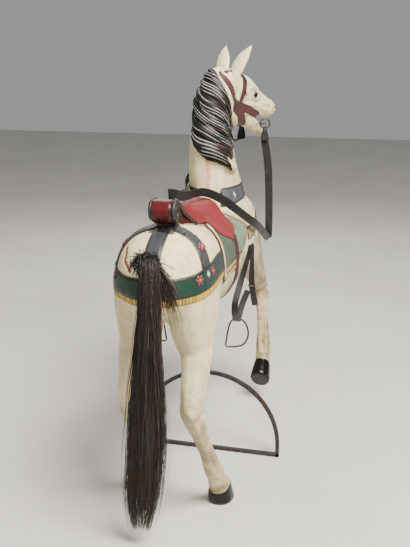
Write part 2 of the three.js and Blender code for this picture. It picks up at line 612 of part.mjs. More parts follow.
/** The scrolled back of the seat: it curls up and over into a roll with a volute at each end. */
function cantle() {
  const [x, , z] = CANTLE.roll;
  const outline = new THREE.Shape();
  outline.moveTo(-250, 745);
  outline.lineTo(-245, 786);
  outline.quadraticCurveTo(-330, 790, x + 14, z + CANTLE.radius);
  outline.absarc(x, z, CANTLE.radius, degrees(70), degrees(285), false);
  outline.quadraticCurveTo(x + 40, z - 26, -345, 735);
  outline.closePath();
  const wide = 2 * CANTLE.halfWidth;
  const seatBack = new THREE.ExtrudeGeometry(outline, { depth: wide, bevelEnabled: false, curveSegments: 9 });
  seatBack.rotateX(Math.PI / 2).translate(0, CANTLE.halfWidth, 0);
  const solids = [solid(seatBack)];
  for (const side of [LEFT, RIGHT]) {
    const turns = 1.6;
    const spiral = (t) => {
      const turn = degrees(75) + 2 * Math.PI * turns * t * side;
      const reach = THREE.MathUtils.lerp(CANTLE.radius - 4.5, 4, t);
      const end = side * CANTLE.halfWidth;
      return new THREE.Vector3(x + reach * Math.cos(turn), end, z + reach * Math.sin(turn));
    };
    const heart = new THREE.Vector3(x, side * CANTLE.halfWidth, z);
    solids.push(slab(12, 1, (u, v) => {
      const place = spiral(u);
      const outwards = place.clone().sub(heart).normalize();
      place.addScaledVector(outwards, (v - 0.5) * 7);
      return {
        outer: place.clone().setY(side * (CANTLE.halfWidth + 4)),
        inner: place.clone().setY(side * (CANTLE.halfWidth - 3)),
      };
    }));
  }
  return fused(solids);
}

/** The straps of the harness and bridle, cut in low relief. */
function harnessSolids(surface, earless) {
  const croup = new THREE.Vector3(-400, 0, 645);
  const chest = new THREE.Vector3(120, 0, 700);
  const inHead = new THREE.Vector3(36, 0, -40).applyMatrix4(headFrame(HEAD.pitch));
  const inNeck = new THREE.Vector3(160, -2, 1010);
  const level = (x) => BREECHING.rear + (BREECHING.front - BREECHING.rear) * ease(x, -520, -350);
  const solids = [
    strapOn(surface, CRUPPER, croup, 36, RELIEF.strap),
    laidOn(surface, 16, 3, (u, v) => {
      const heading = degrees(THREE.MathUtils.lerp(38, 322, u));
      const towards = new THREE.Vector3(Math.cos(heading), Math.sin(heading), 0);
      const top = level(surface(croup, towards).x);
      const down = [BREECHING.high + BREECHING.fringe, BREECHING.high + 2, BREECHING.high - 2, 0];
      const row = Math.round(v * 3);
      const high = row < 2 ? RELIEF.strap - 1.8 : RELIEF.strap;
      return { from: croup.clone().setZ(top - down[row]), towards, high };
    }),
    bandRound(surface, chest, [-164, 164], COLLAR, 14, RELIEF.strap),
    bandRound(surface, chest, [-138, 138], BREAST_BAND, 12, RELIEF.strap),
  ];
  for (const side of [LEFT, RIGHT]) {
    const put = (points) => points.map(([x, y, z]) => [x, y * side, z]);
    solids.push(strapOn(surface, put(BRANCH), croup, 28, RELIEF.strap));
    const bridle = (points) => points.map(([x, y, z]) => mirroredOnHead(new THREE.Vector3(x, -y, z), side));
    solids.push(strapOn(surface, bridle(CROWN_PIECE), inNeck, 15, 3.5));
    solids.push(strapOn(earless, bridle(BROW_PIECE), inHead, 14, 3.5));
    solids.push(strapOn(surface, bridle(CHEEK_PIECE), inHead, 20, 3.5));
  }
  return solids;
}

/** A point of the right side of the head, or its mirror image on the left side. */
function mirroredOnHead(point, side) {
  if (side === RIGHT) return point.toArray();
  const frame = headFrame(HEAD.pitch);
  const local = point.applyMatrix4(frame.clone().invert());
  return local.setY(-local.y).applyMatrix4(frame).toArray();
}

/** The mane: a mass laid over the crest to the right, and locks that sweep down it in waves. */
function maneSolids(neck) {
  const heap = slab(6, 7, (u, v) => {
    const s = THREE.MathUtils.lerp(0.88, 0.42, v);
    const angle = degrees(THREE.MathUtils.lerp(52, 84 + 84 * ease(v, 0, 0.55) - 8 * v, u));
    const high = RELIEF.mane * Math.min(1, 6 * u, 6 * (1 - u)) * Math.min(1, 5 * (1 - v));
    return { outer: neck.point(s, angle, high + 1), inner: neck.point(s, angle, -RELIEF.sunk) };
  });
  const solids = [heap];
  for (let k = 0; k < LOCKS; k++) {
    const start = THREE.MathUtils.lerp(0.86, 0.52, k / (LOCKS - 1));
    const from = 66 + 10 * Math.sin(k * 2.4);
    solids.push(lock(neck, start, from, Math.min(100, 26 + 17 * k), 0.115, 7 + 2 * Math.sin(k * 1.7)));
  }
  solids.push(lock(neck, 0.475, 96, 92, 0.13, 11));
  return solids;
}

/** One lock, a ridge laid on the neck from a start on the crest, sweeping round and down it. */
function lock(neck, start, from, sweep, fall, high) {
  return slab(6, 2, (u, v) => {
    const wave = 0.014 * Math.sin(u * 2 * Math.PI);
    const taper = Math.sin(Math.PI * (0.12 + 0.88 * u)) ** 0.6 + 0.04;
    const s = start - fall * u ** 1.2 + wave + (v - 0.5) * 0.062 * taper;
    const angle = degrees(from + sweep * u);
    const ridge = v === 0.5 ? 1 : 0;
    const lift = RELIEF.mane * Math.min(1, 0.4 + u, 0.25 + 5 * (1 - u)) + high * ridge * taper - 2;
    return { outer: neck.point(s, angle, lift), inner: neck.point(s, angle, -4) };
  });
}

function horseSolid() {
  const neck = limb(NECK);
  const earless = fused([loft(limb(TRUNK), 20, 1), loft(neck, 16, 1), ...headSolids(), ...legSolids()]);
  const bare = fused([earless, ...earSolids()]);
  const surface = surfaceOf(bare);
  const straps = harnessSolids(surface, surfaceOf(earless));
  const relief = [...saddleSolids(surface), ...straps, ...maneSolids(neck)];
  const sockets = [solid(post(STAND.postRadius + CLEAR))];
  for (const side of [LEFT, RIGHT]) sockets.push(pinSolid(side, PIN_RADIUS + CLEAR));
  return welded(fused([bare, ...relief]), WELD).subtract(fused(sockets));
}

// ---------------------------------------------------------------- the stand

/** The upright, from the top of the arch into its socket in the belly. */
function post(radius) {
  const foot = STAND.archCentre + STAND.halfWidth - STAND.bar / 2;
  const top = STAND.belly + STAND.socket + (radius - STAND.postRadius);
  return new THREE.CylinderGeometry(radius, radius, top - foot, 12)
    .rotateX(Math.PI / 2)
    .translate(0, 0, (foot + top) / 2);
}

/** A square bar bent to a half circle on short legs, with a straight bar across its foot. */
function standSolid() {
  const trace = (path, reach, foot) => {
    path.moveTo(reach, foot);
    path.lineTo(reach, STAND.archCentre);
    path.absarc(0, STAND.archCentre, reach, 0, Math.PI, false);
    path.lineTo(-reach, foot);
    path.closePath();
    return path;
  };
  const hoop = trace(new THREE.Shape(), STAND.halfWidth, 0);
  hoop.holes.push(trace(new THREE.Path(), STAND.halfWidth - STAND.bar, STAND.bar));
  const frame = new THREE.ExtrudeGeometry(hoop, { depth: STAND.bar, bevelEnabled: false, curveSegments: 16 });
  frame.translate(0, 0, -STAND.bar / 2).rotateX(Math.PI / 2).rotateZ(Math.PI / 2);
  return fused([solid(frame), solid(post(STAND.postRadius))]);
}

// ---------------------------------------------------------------- straps, rings and irons

/** A sweep with four-cornered sections: rows give the centre, half width and half thickness. */
function swept(rows) {
  const position = rows.flatMap(({ at, across, through }) => [[1, 1], [-1, 1], [-1, -1], [1, -1]]
    .flatMap(([a, b]) => at.clone().addScaledVector(across, a).addScaledVector(through, b).toArray()));
  const faces = [];
  const count = rows.length;
  for (let k = 0; k < count - 1; k++) {
    for (let i = 0; i < 4; i++) {
      const a = k * 4 + i;
      const b = k * 4 + ((i + 1) % 4);
      faces.push(a, b, b + 4, a, b + 4, a + 4);
    }
  }
  const end = (count - 1) * 4;
  faces.push(0, 2, 1, 0, 3, 2, end, end + 1, end + 2, end, end + 2, end + 3);
  const geometry = new THREE.BufferGeometry();
  geometry.setAttribute("position", new THREE.Float32BufferAttribute(position, 3));
  geometry.setIndex(faces);
  const made = solid(geometry);
  return made.volume() > 0 ? made : solid(flipped(geometry));
}

/** A flat strap along hand-placed knots, each with the way that its width points there. */
function strap(knots, wide, thick, rowsPerKnot) {
  const path = new THREE.CatmullRomCurve3(knots.map((k) => new THREE.Vector3(...k.at)));
  const facing = new THREE.CatmullRomCurve3(knots.map((k) => new THREE.Vector3(...k.across)));
  const narrowing = new THREE.CatmullRomCurve3(knots.map((k) => new THREE.Vector3(k.narrow ?? 1, 0, 0)));
  const steps = Math.round((knots.length - 1) * rowsPerKnot);
  const rows = [];
  for (let i = 0; i <= steps; i++) {
    const along = path.getTangent(i / steps);
    const across = facing.getPoint(i / steps);
    across.addScaledVector(along, -across.dot(along)).normalize();
    const through = new THREE.Vector3().crossVectors(along, across);
    rows.push({
      at: path.getPoint(i / steps),
      across: across.multiplyScalar((wide / 2) * narrowing.getPoint(i / steps).x),
      through: through.multiplyScalar(thick / 2),
    });
  }
  return swept(rows);
}

/** A ring or iron bent from round wire along a closed line of points in one plane. */
function wireLoop(points, wire, sides) {
  const centre = points.reduce((sum, p) => sum.add(p), new THREE.Vector3()).divideScalar(points.length);
  const quarter = points[Math.round(points.length / 4)].clone().sub(centre);
  const axis = points[0].clone().sub(centre).cross(quarter).normalize();
  const position = [];
  const faces = [];
  points.forEach((point, k) => {
    const after = (k + 1) % points.length;
    const before = (k + points.length - 1) % points.length;
    const along = points[after].clone().sub(points[before]).normalize();
    const out = new THREE.Vector3().crossVectors(along, axis);
    for (let i = 0; i < sides; i++) {
      const turn = (2 * Math.PI * i) / sides;
      const place = point.clone().addScaledVector(out, wire * Math.cos(turn));
      position.push(...place.addScaledVector(axis, wire * Math.sin(turn)).toArray());
      const j = (i + 1) % sides;
      faces.push(k * sides + i, k * sides + j, after * sides + j);
      faces.push(k * sides + i, after * sides + j, after * sides + i);
    }
  });
  const geometry = new THREE.BufferGeometry();
  geometry.setAttribute("position", new THREE.Float32BufferAttribute(position, 3));
  geometry.setIndex(faces);
  const made = solid(geometry);
  return made.volume() > 0 ? made : solid(flipped(geometry));
}

/** Knots given for the right side, put on the side asked for. */
function knotsOn(side, knots) {
  return knots.map(({ at, across }) => ({
    at: [at[0], -side * at[1], at[2]],
    across: [across[0], -side * across[1], across[2]],
  }));
}

/** Where a bit ring hangs, and the way that it lies across. */
function ringPlace(side) {
  const [x, y, z] = RING_ON_HEAD;
  return {
    middle: new THREE.Vector3(x, y * side, z).applyMatrix4(headFrame(HEAD.pitch)),
    across: new THREE.Vector3(0.35, 0.94 * side, 0).normalize(),
    rear: new THREE.Vector3(-0.94, 0.35 * side, 0).normalize(),
  };
}

/** The pin that holds a bit ring: out of the corner of the mouth and slantwise through the ring. */
function pinSolid(side, radius) {
  const { middle, across, rear } = ringPlace(side);
  const root = middle.clone().addScaledVector(across, -30).addScaledVector(rear, 16);
  const tip = middle.clone().addScaledVector(across, 4).addScaledVector(rear, -6);
  const along = tip.clone().sub(root);
  const turned = new THREE.Quaternion().setFromUnitVectors(UP, along.clone().normalize());
  const rod = new THREE.CylinderGeometry(radius, radius, along.length(), 8).rotateX(Math.PI / 2);
  return solid(rod.applyQuaternion(turned).translate(...root.add(tip).divideScalar(2).toArray()));
}

/** A bit ring, hanging at the corner of the mouth with its face to the rear. */
function ringSolid(side) {
  const { middle, across } = ringPlace(side);
  const points = [];
  for (let i = 0; i < 10; i++) {
    const turn = (2 * Math.PI * (i + 0.5)) / 10;
    const up = new THREE.Vector3(0, 0, RING.radius * Math.sin(turn));
    points.push(middle.clone().add(up).addScaledVector(across, RING.radius * Math.cos(turn)));
  }
  return wireLoop(points, RING.wire, 5);
}

/** The end of the rein: doubled back round the bottom of its ring, from the free end outwards. */
function reinEnd(side) {
  const { middle, across, rear } = ringPlace(side);
  const wire = middle.clone().setZ(middle.z - RING.radius);
  const over = RING.wire + REIN.thick / 2 + 1.6;
  const knot = (back, up, narrow) => ({
    at: wire.clone().addScaledVector(rear, back).setZ(wire.z + up).toArray(),
    across: across.toArray(),
    narrow,
  });
  return [
    knot(over, -REIN.end, 1), knot(over, -REIN.end / 2, 0.9), knot(over, -3, REIN.gathered),
    knot(over * 0.72, over * 0.72, REIN.gathered), knot(0, over, REIN.gathered),
    knot(-over * 0.72, over * 0.72, REIN.gathered), knot(-over, -3, REIN.gathered),
    knot(-over, -REIN.end / 2, 0.9), knot(-over, -REIN.end, 1),
  ];
}

/** The rein: one strap from ring to ring. */
function reinSolid() {
  const knots = [...reinEnd(RIGHT), ...REIN_KNOTS, ...reinEnd(LEFT).reverse()];
  return strap(knots, REIN.wide, REIN.thick, 1);
}

/** One stirrup leather. */
function leatherSolid(side) {
  return strap(knotsOn(side, LEATHER_KNOTS), LEATHER.wide, LEATHER.thick, 1.4);
}

/** The buckle frame that holds a stirrup leather's loop closed. */
function keeperSolid(side) {
  const [{ at, across }] = knotsOn(side, [LEATHER_KNOTS[2]]);
  const wide = new THREE.Vector3(...across).normalize();
  const deep = new THREE.Vector3(-wide.y, wide.x, 0);
  const corners = [[1, 1], [-1, 1], [-1, -1], [1, -1]];
  const points = corners.map(([a, b]) => new THREE.Vector3(...at)
    .addScaledVector(wide, a * KEEPER.halfWidth)
    .addScaledVector(deep, b * KEEPER.halfDepth));
  return wireLoop(points, KEEPER.wire, 4);
}

/** A stirrup iron: a round arch with a flat eye, coming down to a straight tread. */
function stirrupSolid(side) {
  const [x, y, z] = STIRRUP_EYE;
  const eye = new THREE.Vector3(x, -side * y, z);
  const across = new THREE.Vector3(0.2, 0.98 * side, 0);
  const outline = new THREE.CatmullRomCurve3(
    STIRRUP_OUTLINE.map(([a, b]) => eye.clone().addScaledVector(across, a).addScaledVector(UP, b)),
    true,
  );
  return wireLoop(outline.getPoints(20).slice(0, -1), STIRRUP_WIRE, 5);
}

// ---------------------------------------------------------------- the whole

const PAINT = { color: 0xe6dfcb, roughness: 0.55, metalness: 0 };
const HAIR = { color: 0x241a15, roughness: 0.7, metalness: 0 };
const BLACK_LEATHER = { color: 0x151413, roughness: 0.5, metalness: 0 };
const IRON = { color: 0x3a322d, roughness: 0.6, metalness: 0.7 };
const STEEL = { color: 0x4a4238, roughness: 0.45, metalness: 0.9 };

function named(name, made, look) {
  const mesh = new THREE.Mesh(geometryOf(made), new THREE.MeshStandardMaterial(look));
  mesh.name = name;
  return mesh;
}

const group = new THREE.Group();
group.add(named("horse", horseSolid(), PAINT));
group.add(named("tail", loft(limb(TAIL), 10, 1), HAIR));
group.add(named("stand", standSolid(), IRON));
group.add(named("rein", reinSolid(), BLACK_LEATHER));
for (const side of [LEFT, RIGHT]) {
  const hand = side === LEFT ? "left" : "right";
  group.add(named(`bit_ring_${hand}`, ringSolid(side), STEEL));
  group.add(named(`bit_pin_${hand}`, pinSolid(side, PIN_RADIUS), STEEL));
  group.add(named(`stirrup_leather_${hand}`, leatherSolid(side), BLACK_LEATHER));
  group.add(named(`stirrup_buckle_${hand}`, keeperSolid(side), STEEL));
  group.add(named(`stirrup_${hand}`, stirrupSolid(side), STEEL));
}

export default group;
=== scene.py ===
"""Looks of a carved and painted wooden carousel horse on its iron arch stand.

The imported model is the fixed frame: +X is the way the horse faces, +Y its left side, +Z up, with
the origin on the floor under the middle of the stand. Sizes of the carving are in millimetres, as
in the model, and become metres where meshes are made.
"""
import logging
import math
from collections.abc import Callable, Iterator
from contextlib import contextmanager
from dataclasses import dataclass, field
from enum import Enum

import bpy
import numpy as np
from mathutils import Euler, Matrix, Vector
from mathutils.bvhtree import BVHTree


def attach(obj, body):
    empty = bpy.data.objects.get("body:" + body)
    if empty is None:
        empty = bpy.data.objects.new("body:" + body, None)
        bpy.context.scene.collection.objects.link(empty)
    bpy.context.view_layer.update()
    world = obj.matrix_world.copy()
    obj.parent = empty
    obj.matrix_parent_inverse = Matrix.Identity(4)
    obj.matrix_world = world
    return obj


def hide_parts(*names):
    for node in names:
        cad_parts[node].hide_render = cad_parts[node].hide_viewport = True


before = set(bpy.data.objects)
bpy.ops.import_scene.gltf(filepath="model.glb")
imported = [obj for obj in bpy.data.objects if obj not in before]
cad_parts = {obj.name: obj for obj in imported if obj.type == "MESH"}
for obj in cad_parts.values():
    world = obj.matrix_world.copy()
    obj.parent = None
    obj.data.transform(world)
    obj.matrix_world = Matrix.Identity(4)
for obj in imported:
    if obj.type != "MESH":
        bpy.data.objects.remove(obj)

LOG = logging.getLogger("carousel_horse")
MM = 0.001
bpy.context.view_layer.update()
RIGHT, LEFT = -1, 1
OUTSIDE = -1e3  # depth of a vertex that no part of a zone comes near
FAR = 1e9  # what a search for the nearest starts from

Colour = tuple[float, float, float]
Point = tuple[float, float, float]
Hair = tuple[np.ndarray, np.ndarray, np.ndarray]  # rows, faces and the colour of each row


# ---------------------------------------------------------------- numbers and distances

def ease(value: np.ndarray | float, low: float, high: float) -> np.ndarray:
    """Smooth step of a value from 0 at low to 1 at high."""
    t = np.clip((np.asarray(value, float) - low) / (high - low), 0.0, 1.0)
    return t * t * (3.0 - 2.0 * t)


def hump(value: np.ndarray, middle: float, half: float) -> np.ndarray:
    """A smooth hump of height 1 about a middle."""
    return np.exp(-((value - middle) / half) ** 2)


def mound(across: np.ndarray, up: np.ndarray, half: float, high: float) -> np.ndarray:
    """A smooth mound of height 1 over a plane, from distances to its middle along two axes."""
    return np.exp(-((across / half) ** 2 + (up / high) ** 2))


def band(value: np.ndarray, low: np.ndarray | float, high: np.ndarray | float) -> np.ndarray:
    """How far a value lies between two bounds, negative outside."""
    return np.minimum(value - low, high - value)


def within(*depths: np.ndarray) -> np.ndarray:
    """How far a vertex lies inside all of several zones."""
    return np.minimum.reduce(depths)


def noise(rows: np.ndarray, scale: float, seed: float = 0.0) -> np.ndarray:
    """Cheap smooth noise from -1 to 1 at points, as a sum of turned sine waves.

    Args:
        rows: Points in millimetres.
        scale: Size of the waves.
        seed: Picks one of many patterns.

    Returns:
        One value for each point.
    """
    total = np.zeros(len(rows))
    for k in range(5):
        turn = np.array([math.sin(1.7 * k + seed), math.cos(2.3 * k + seed),
                         math.sin(3.1 * k + 2 * seed + 1)])
        total += np.sin(rows @ turn * (1.0 + 0.37 * k) / scale + 5.1 * k + seed)
    return total / 3.2


def nearest_on(points: np.ndarray, a: np.ndarray, b: np.ndarray) -> tuple[np.ndarray, np.ndarray]:
    """For each point, the nearest share of the way from a to b, and the distance to it.

    Args:
        points: Points to measure from.
        a: Start of the straight piece.
        b: Its end.

    Returns:
        The shares, and the distances.
    """
    step = b - a
    t = np.clip(((points - a) @ step) / (step @ step), 0.0, 1.0)
    return t, np.linalg.norm(points - (a + t[:, None] * step), axis=1)


def curve_gap(rows: np.ndarray, path: np.ndarray) -> np.ndarray:
    """Distance of points from a line of straight pieces."""
    return np.minimum.reduce([nearest_on(rows, a, b)[1] for a, b in zip(path[:-1], path[1:])])


def strap_depth(rows: np.ndarray, path: np.ndarray, centre: Point, wide: float) -> np.ndarray:
    """How far points lie inside a strap laid over a form, as seen from a point within it.

    Args:
        rows: Points to test.
        path: Centre line of the strap.
        centre: The point within the form.
        wide: Width of the strap.

    Returns:
        Millimetres inside the strap's edge, negative outside.
    """
    too_deep = 60.0  # a point so far above or below the line belongs to another part of the form
    heart = np.array(centre)
    far = np.linalg.norm(rows - heart, axis=1)
    ways = (rows - heart) / far[:, None]
    line = path - heart
    reaches = np.linalg.norm(line, axis=1)
    line = line / reaches[:, None]
    best = np.full(len(rows), FAR)
    for a, b, reach_a, reach_b in zip(line[:-1], line[1:], reaches[:-1], reaches[1:]):
        t, gap = nearest_on(ways, a, b)
        off = np.abs(far - (reach_a + (reach_b - reach_a) * t))
        best = np.minimum(best, np.where(off < too_deep, gap * far, FAR))
    return wide / 2.0 - best


def polygon_depth(points: np.ndarray, outline: np.ndarray) -> np.ndarray:
    """How far plane points lie inside a closed outline, negative outside.

    Args:
        points: Points of the plane.
        outline: Corners of the outline, in order.

    Returns:
        Millimetres inside for each point.
    """
    inside = np.zeros(len(points), bool)
    best = np.full(len(points), FAR)
    for a, b in zip(outline, np.roll(outline, -1, axis=0)):
        best = np.minimum(best, nearest_on(points, a, b)[1])
        spans = (a[1] > points[:, 1]) != (b[1] > points[:, 1])
        rise = b[1] - a[1] or 1e-9
        inside ^= spans & (points[:, 0] < a[0] + (points[:, 1] - a[1]) / rise * (b[0] - a[0]))
    return np.where(inside, best, -best)


def on_side(points: tuple[Point, ...], side: int) -> np.ndarray:
    """Points given for the left side, on the side asked for."""
    return np.array([(x, y * side, z) for x, y, z in points], float)


@dataclass(frozen=True)
class Edge:
    """The edge of a painted zone, which moves in smooth steps along something else.

    Each step says how far the edge moves, from and to which value, and with which power.
    """

    start: float
    steps: tuple[tuple[float, float, float, float], ...]

    def at(self, value: np.ndarray) -> np.ndarray:
        """Where the edge lies at each value.

        Args:
            value: What the edge moves along.

        Returns:
            The edge's places.
        """
        place = self.start
        for amount, low, high, power in self.steps:
            place = place + amount * ease(value, low, high) ** power
        return place


# ---------------------------------------------------------------- meshes

def deselect() -> None:
    """Leaves nothing selected."""
    bpy.ops.object.select_all(action="DESELECT")


def only(obj: bpy.types.Object) -> None:
    """Leaves one object selected and active.

    Args:
        obj: The object.
    """
    deselect()
    obj.select_set(True)
    bpy.context.view_layer.objects.active = obj


@contextmanager
def editing(obj: bpy.types.Object) -> Iterator[None]:
    """Opens one object in edit mode with all of it selected, and closes it again.

    Args:
        obj: The object.

    Returns:
        Control while it is open.
    """
    only(obj)
    bpy.ops.object.mode_set(mode="EDIT")
    bpy.ops.mesh.select_all(action="SELECT")
    yield
    bpy.ops.object.mode_set(mode="OBJECT")


def settle(obj: bpy.types.Object) -> bpy.types.Object:
    """Puts an object's place into its mesh, so that it sits unturned at the origin.

    Args:
        obj: The object.

    Returns:
        The same object.
    """
    only(obj)
    bpy.ops.object.transform_apply(location=True, rotation=True, scale=True)
    return obj


def added(operator: Callable[..., object], **sizes: object) -> bpy.types.Object:
    """Adds a primitive with nothing else selected.

    Args:
        operator: The operator that adds it.
        sizes: Its settings.

    Returns:
        The new object.
    """
    deselect()
    operator(**sizes)
    return bpy.context.active_object


def modified(obj: bpy.types.Object, kind: str, **settings: object) -> None:
    """Gives an object a modifier and applies it.

    Args:
        obj: The object.
        kind: Kind of modifier.
        settings: The modifier's settings.
    """
    only(obj)
    modifier = obj.modifiers.new(kind.lower(), kind)
    for name, value in settings.items():
        setattr(modifier, name, value)
    bpy.ops.object.modifier_apply(modifier=modifier.name)


def joined(parts: list[bpy.types.Object], name: str) -> bpy.types.Object:
    """Joins objects to one, under a name.

    Args:
        parts: The objects; the first one takes up the others.
        name: Name of the whole.

    Returns:
        The whole.
    """
    only(parts[0])
    for part in parts:
        part.select_set(True)
    bpy.ops.object.join()
    parts[0].name = parts[0].data.name = name
    return parts[0]


def finished(obj: bpy.types.Object, material: bpy.types.Material) -> bpy.types.Object:
    """Gives a piece its one finish and smooth shading.

    Args:
        obj: The piece.
        material: Its material.

    Returns:
        The same piece.
    """
    obj.data.materials.clear()
    obj.data.materials.append(material)
    obj.data.shade_smooth()
    return obj


def tree_of(obj: bpy.types.Object) -> BVHTree:
    """A search tree over an object's faces."""
    return BVHTree.FromObject(obj, bpy.context.evaluated_depsgraph_get())


def corners(mesh: bpy.types.Mesh) -> np.ndarray:
    """The mesh's vertices as rows of millimetres.

    Args:
        mesh: The mesh.

    Returns:
        One row for each vertex.
    """
    flat = np.empty(len(mesh.vertices) * 3)
    mesh.vertices.foreach_get("co", flat)
    return flat.reshape(-1, 3) / MM


def move_corners(mesh: bpy.types.Mesh, rows: np.ndarray) -> None:
    """Moves the mesh's vertices to rows of millimetres."""
    mesh.vertices.foreach_set("co", (rows * MM).ravel())
    mesh.update()


def normals(mesh: bpy.types.Mesh) -> np.ndarray:
    """The mesh's vertex normals.

    Args:
        mesh: The mesh.

    Returns:
        One row for each vertex.
    """
    flat = np.empty(len(mesh.vertices) * 3)
    mesh.vertex_normals.foreach_get("vector", flat)
    return flat.reshape(-1, 3)


def put_numbers(mesh: bpy.types.Mesh, name: str, values: np.ndarray) -> None:
    """Stores one number for each vertex under a name that a finish reads."""
    layer = mesh.attributes.new(name, "FLOAT", "POINT")
    layer.data.foreach_set("value", values.astype(np.float32))


def put_colours(mesh: bpy.types.Mesh, rows: np.ndarray) -> None:
    """Stores one colour for each vertex, for the finishes that read their paint from the mesh.

    Args:
        mesh: The mesh.
        rows: One colour for each vertex.
    """
    full = np.ones((len(rows), 4), np.float32)
    full[:, :3] = rows
    layer = mesh.attributes.new("paint", "FLOAT_COLOR", "POINT")
    layer.data.foreach_set("color", full.ravel())


def mesh_object(name: str, rows: np.ndarray, faces: np.ndarray) -> bpy.types.Object:
    """A new object from rows of millimetres and faces with the same number of corners.

    Args:
        name: Name of the object.
        rows: Its vertices.
        faces: Its faces, as indices of vertices.

    Returns:
        The new object.
    """
    mesh = bpy.data.meshes.new(name)
    mesh.from_pydata((rows * MM).tolist(), [], faces.tolist())
    obj = bpy.data.objects.new(name, mesh)
    bpy.context.collection.objects.link(obj)
    return obj


def grid_faces(rings: int, sides: int, closed: bool) -> np.ndarray:
    """The four-sided faces of a grid of vertices.

    Args:
        rings: Rows of the grid.
        sides: Vertices in a row.
        closed: Whether the last column joins the first.

    Returns:
        The faces, as indices of vertices.
    """
    index = np.arange(rings * sides).reshape(rings, sides)
    ahead = np.roll(index, -1, axis=1)
    if not closed:
        index, ahead = index[:, :-1], ahead[:, :-1]
    return np.stack([index[:-1], ahead[:-1], ahead[1:], index[1:]], axis=-1).reshape(-1, 4)


def copied_node(node: str, name: str) -> bpy.types.Object:
    """A merged copy of a node of the model, as a new object.

    Args:
        node: Name of the node.
        name: Name of the copy.

    Returns:
        The copy.
    """
    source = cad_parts[node]
    obj = bpy.data.objects.new(name, source.data.copy())
    bpy.context.collection.objects.link(obj)
    obj.matrix_world = source.matrix_world.copy()
    settle(obj)
    obj.data.materials.clear()
    with editing(obj):
        bpy.ops.mesh.remove_doubles(threshold=0.00002)
    return obj


def rope(name: str, routes: list[np.ndarray], radius: float) -> bpy.types.Object:
    """Round bars bent along routes, with closed ends, as one mesh.

    Args:
        name: Name of the object.
        routes: Points of each route in millimetres.
        radius: Radius of the bar.

    Returns:
        The new object.
    """
    curve = bpy.data.curves.new(name, "CURVE")
    curve.dimensions = "3D"
    curve.bevel_depth = radius * MM
    curve.bevel_resolution = 1
    curve.use_fill_caps = True
    for route in routes:
        spline = curve.splines.new("POLY")
        spline.points.add(len(route) - 1)
        places = np.hstack([route * MM, np.ones((len(route), 1))])
        spline.points.foreach_set("co", places.ravel())
    obj = bpy.data.objects.new(name, curve)
    bpy.context.collection.objects.link(obj)
    only(obj)
    bpy.ops.object.convert(target="MESH")
    return bpy.context.active_object


# ---------------------------------------------------------------- finishes

def shade_of(hex_colour: int) -> Colour:
    """A linear colour from an sRGB hex number."""
    parts = [((hex_colour >> shift) & 255) / 255.0 for shift in (16, 8, 0)]
    return tuple(c / 12.92 if c <= 0.04045 else ((c + 0.055) / 1.055) ** 2.4 for c in parts)


def darker(hex_colour: int, share: float) -> Colour:
    """A share of a colour's light."""
    return tuple(c * share for c in shade_of(hex_colour))


def tinted(paint: np.ndarray, hex_colour: int, share: np.ndarray) -> np.ndarray:
    """Rows of paint, taken towards a colour by a share for each row."""
    return paint + (np.array(shade_of(hex_colour)) - paint) * share[..., None]


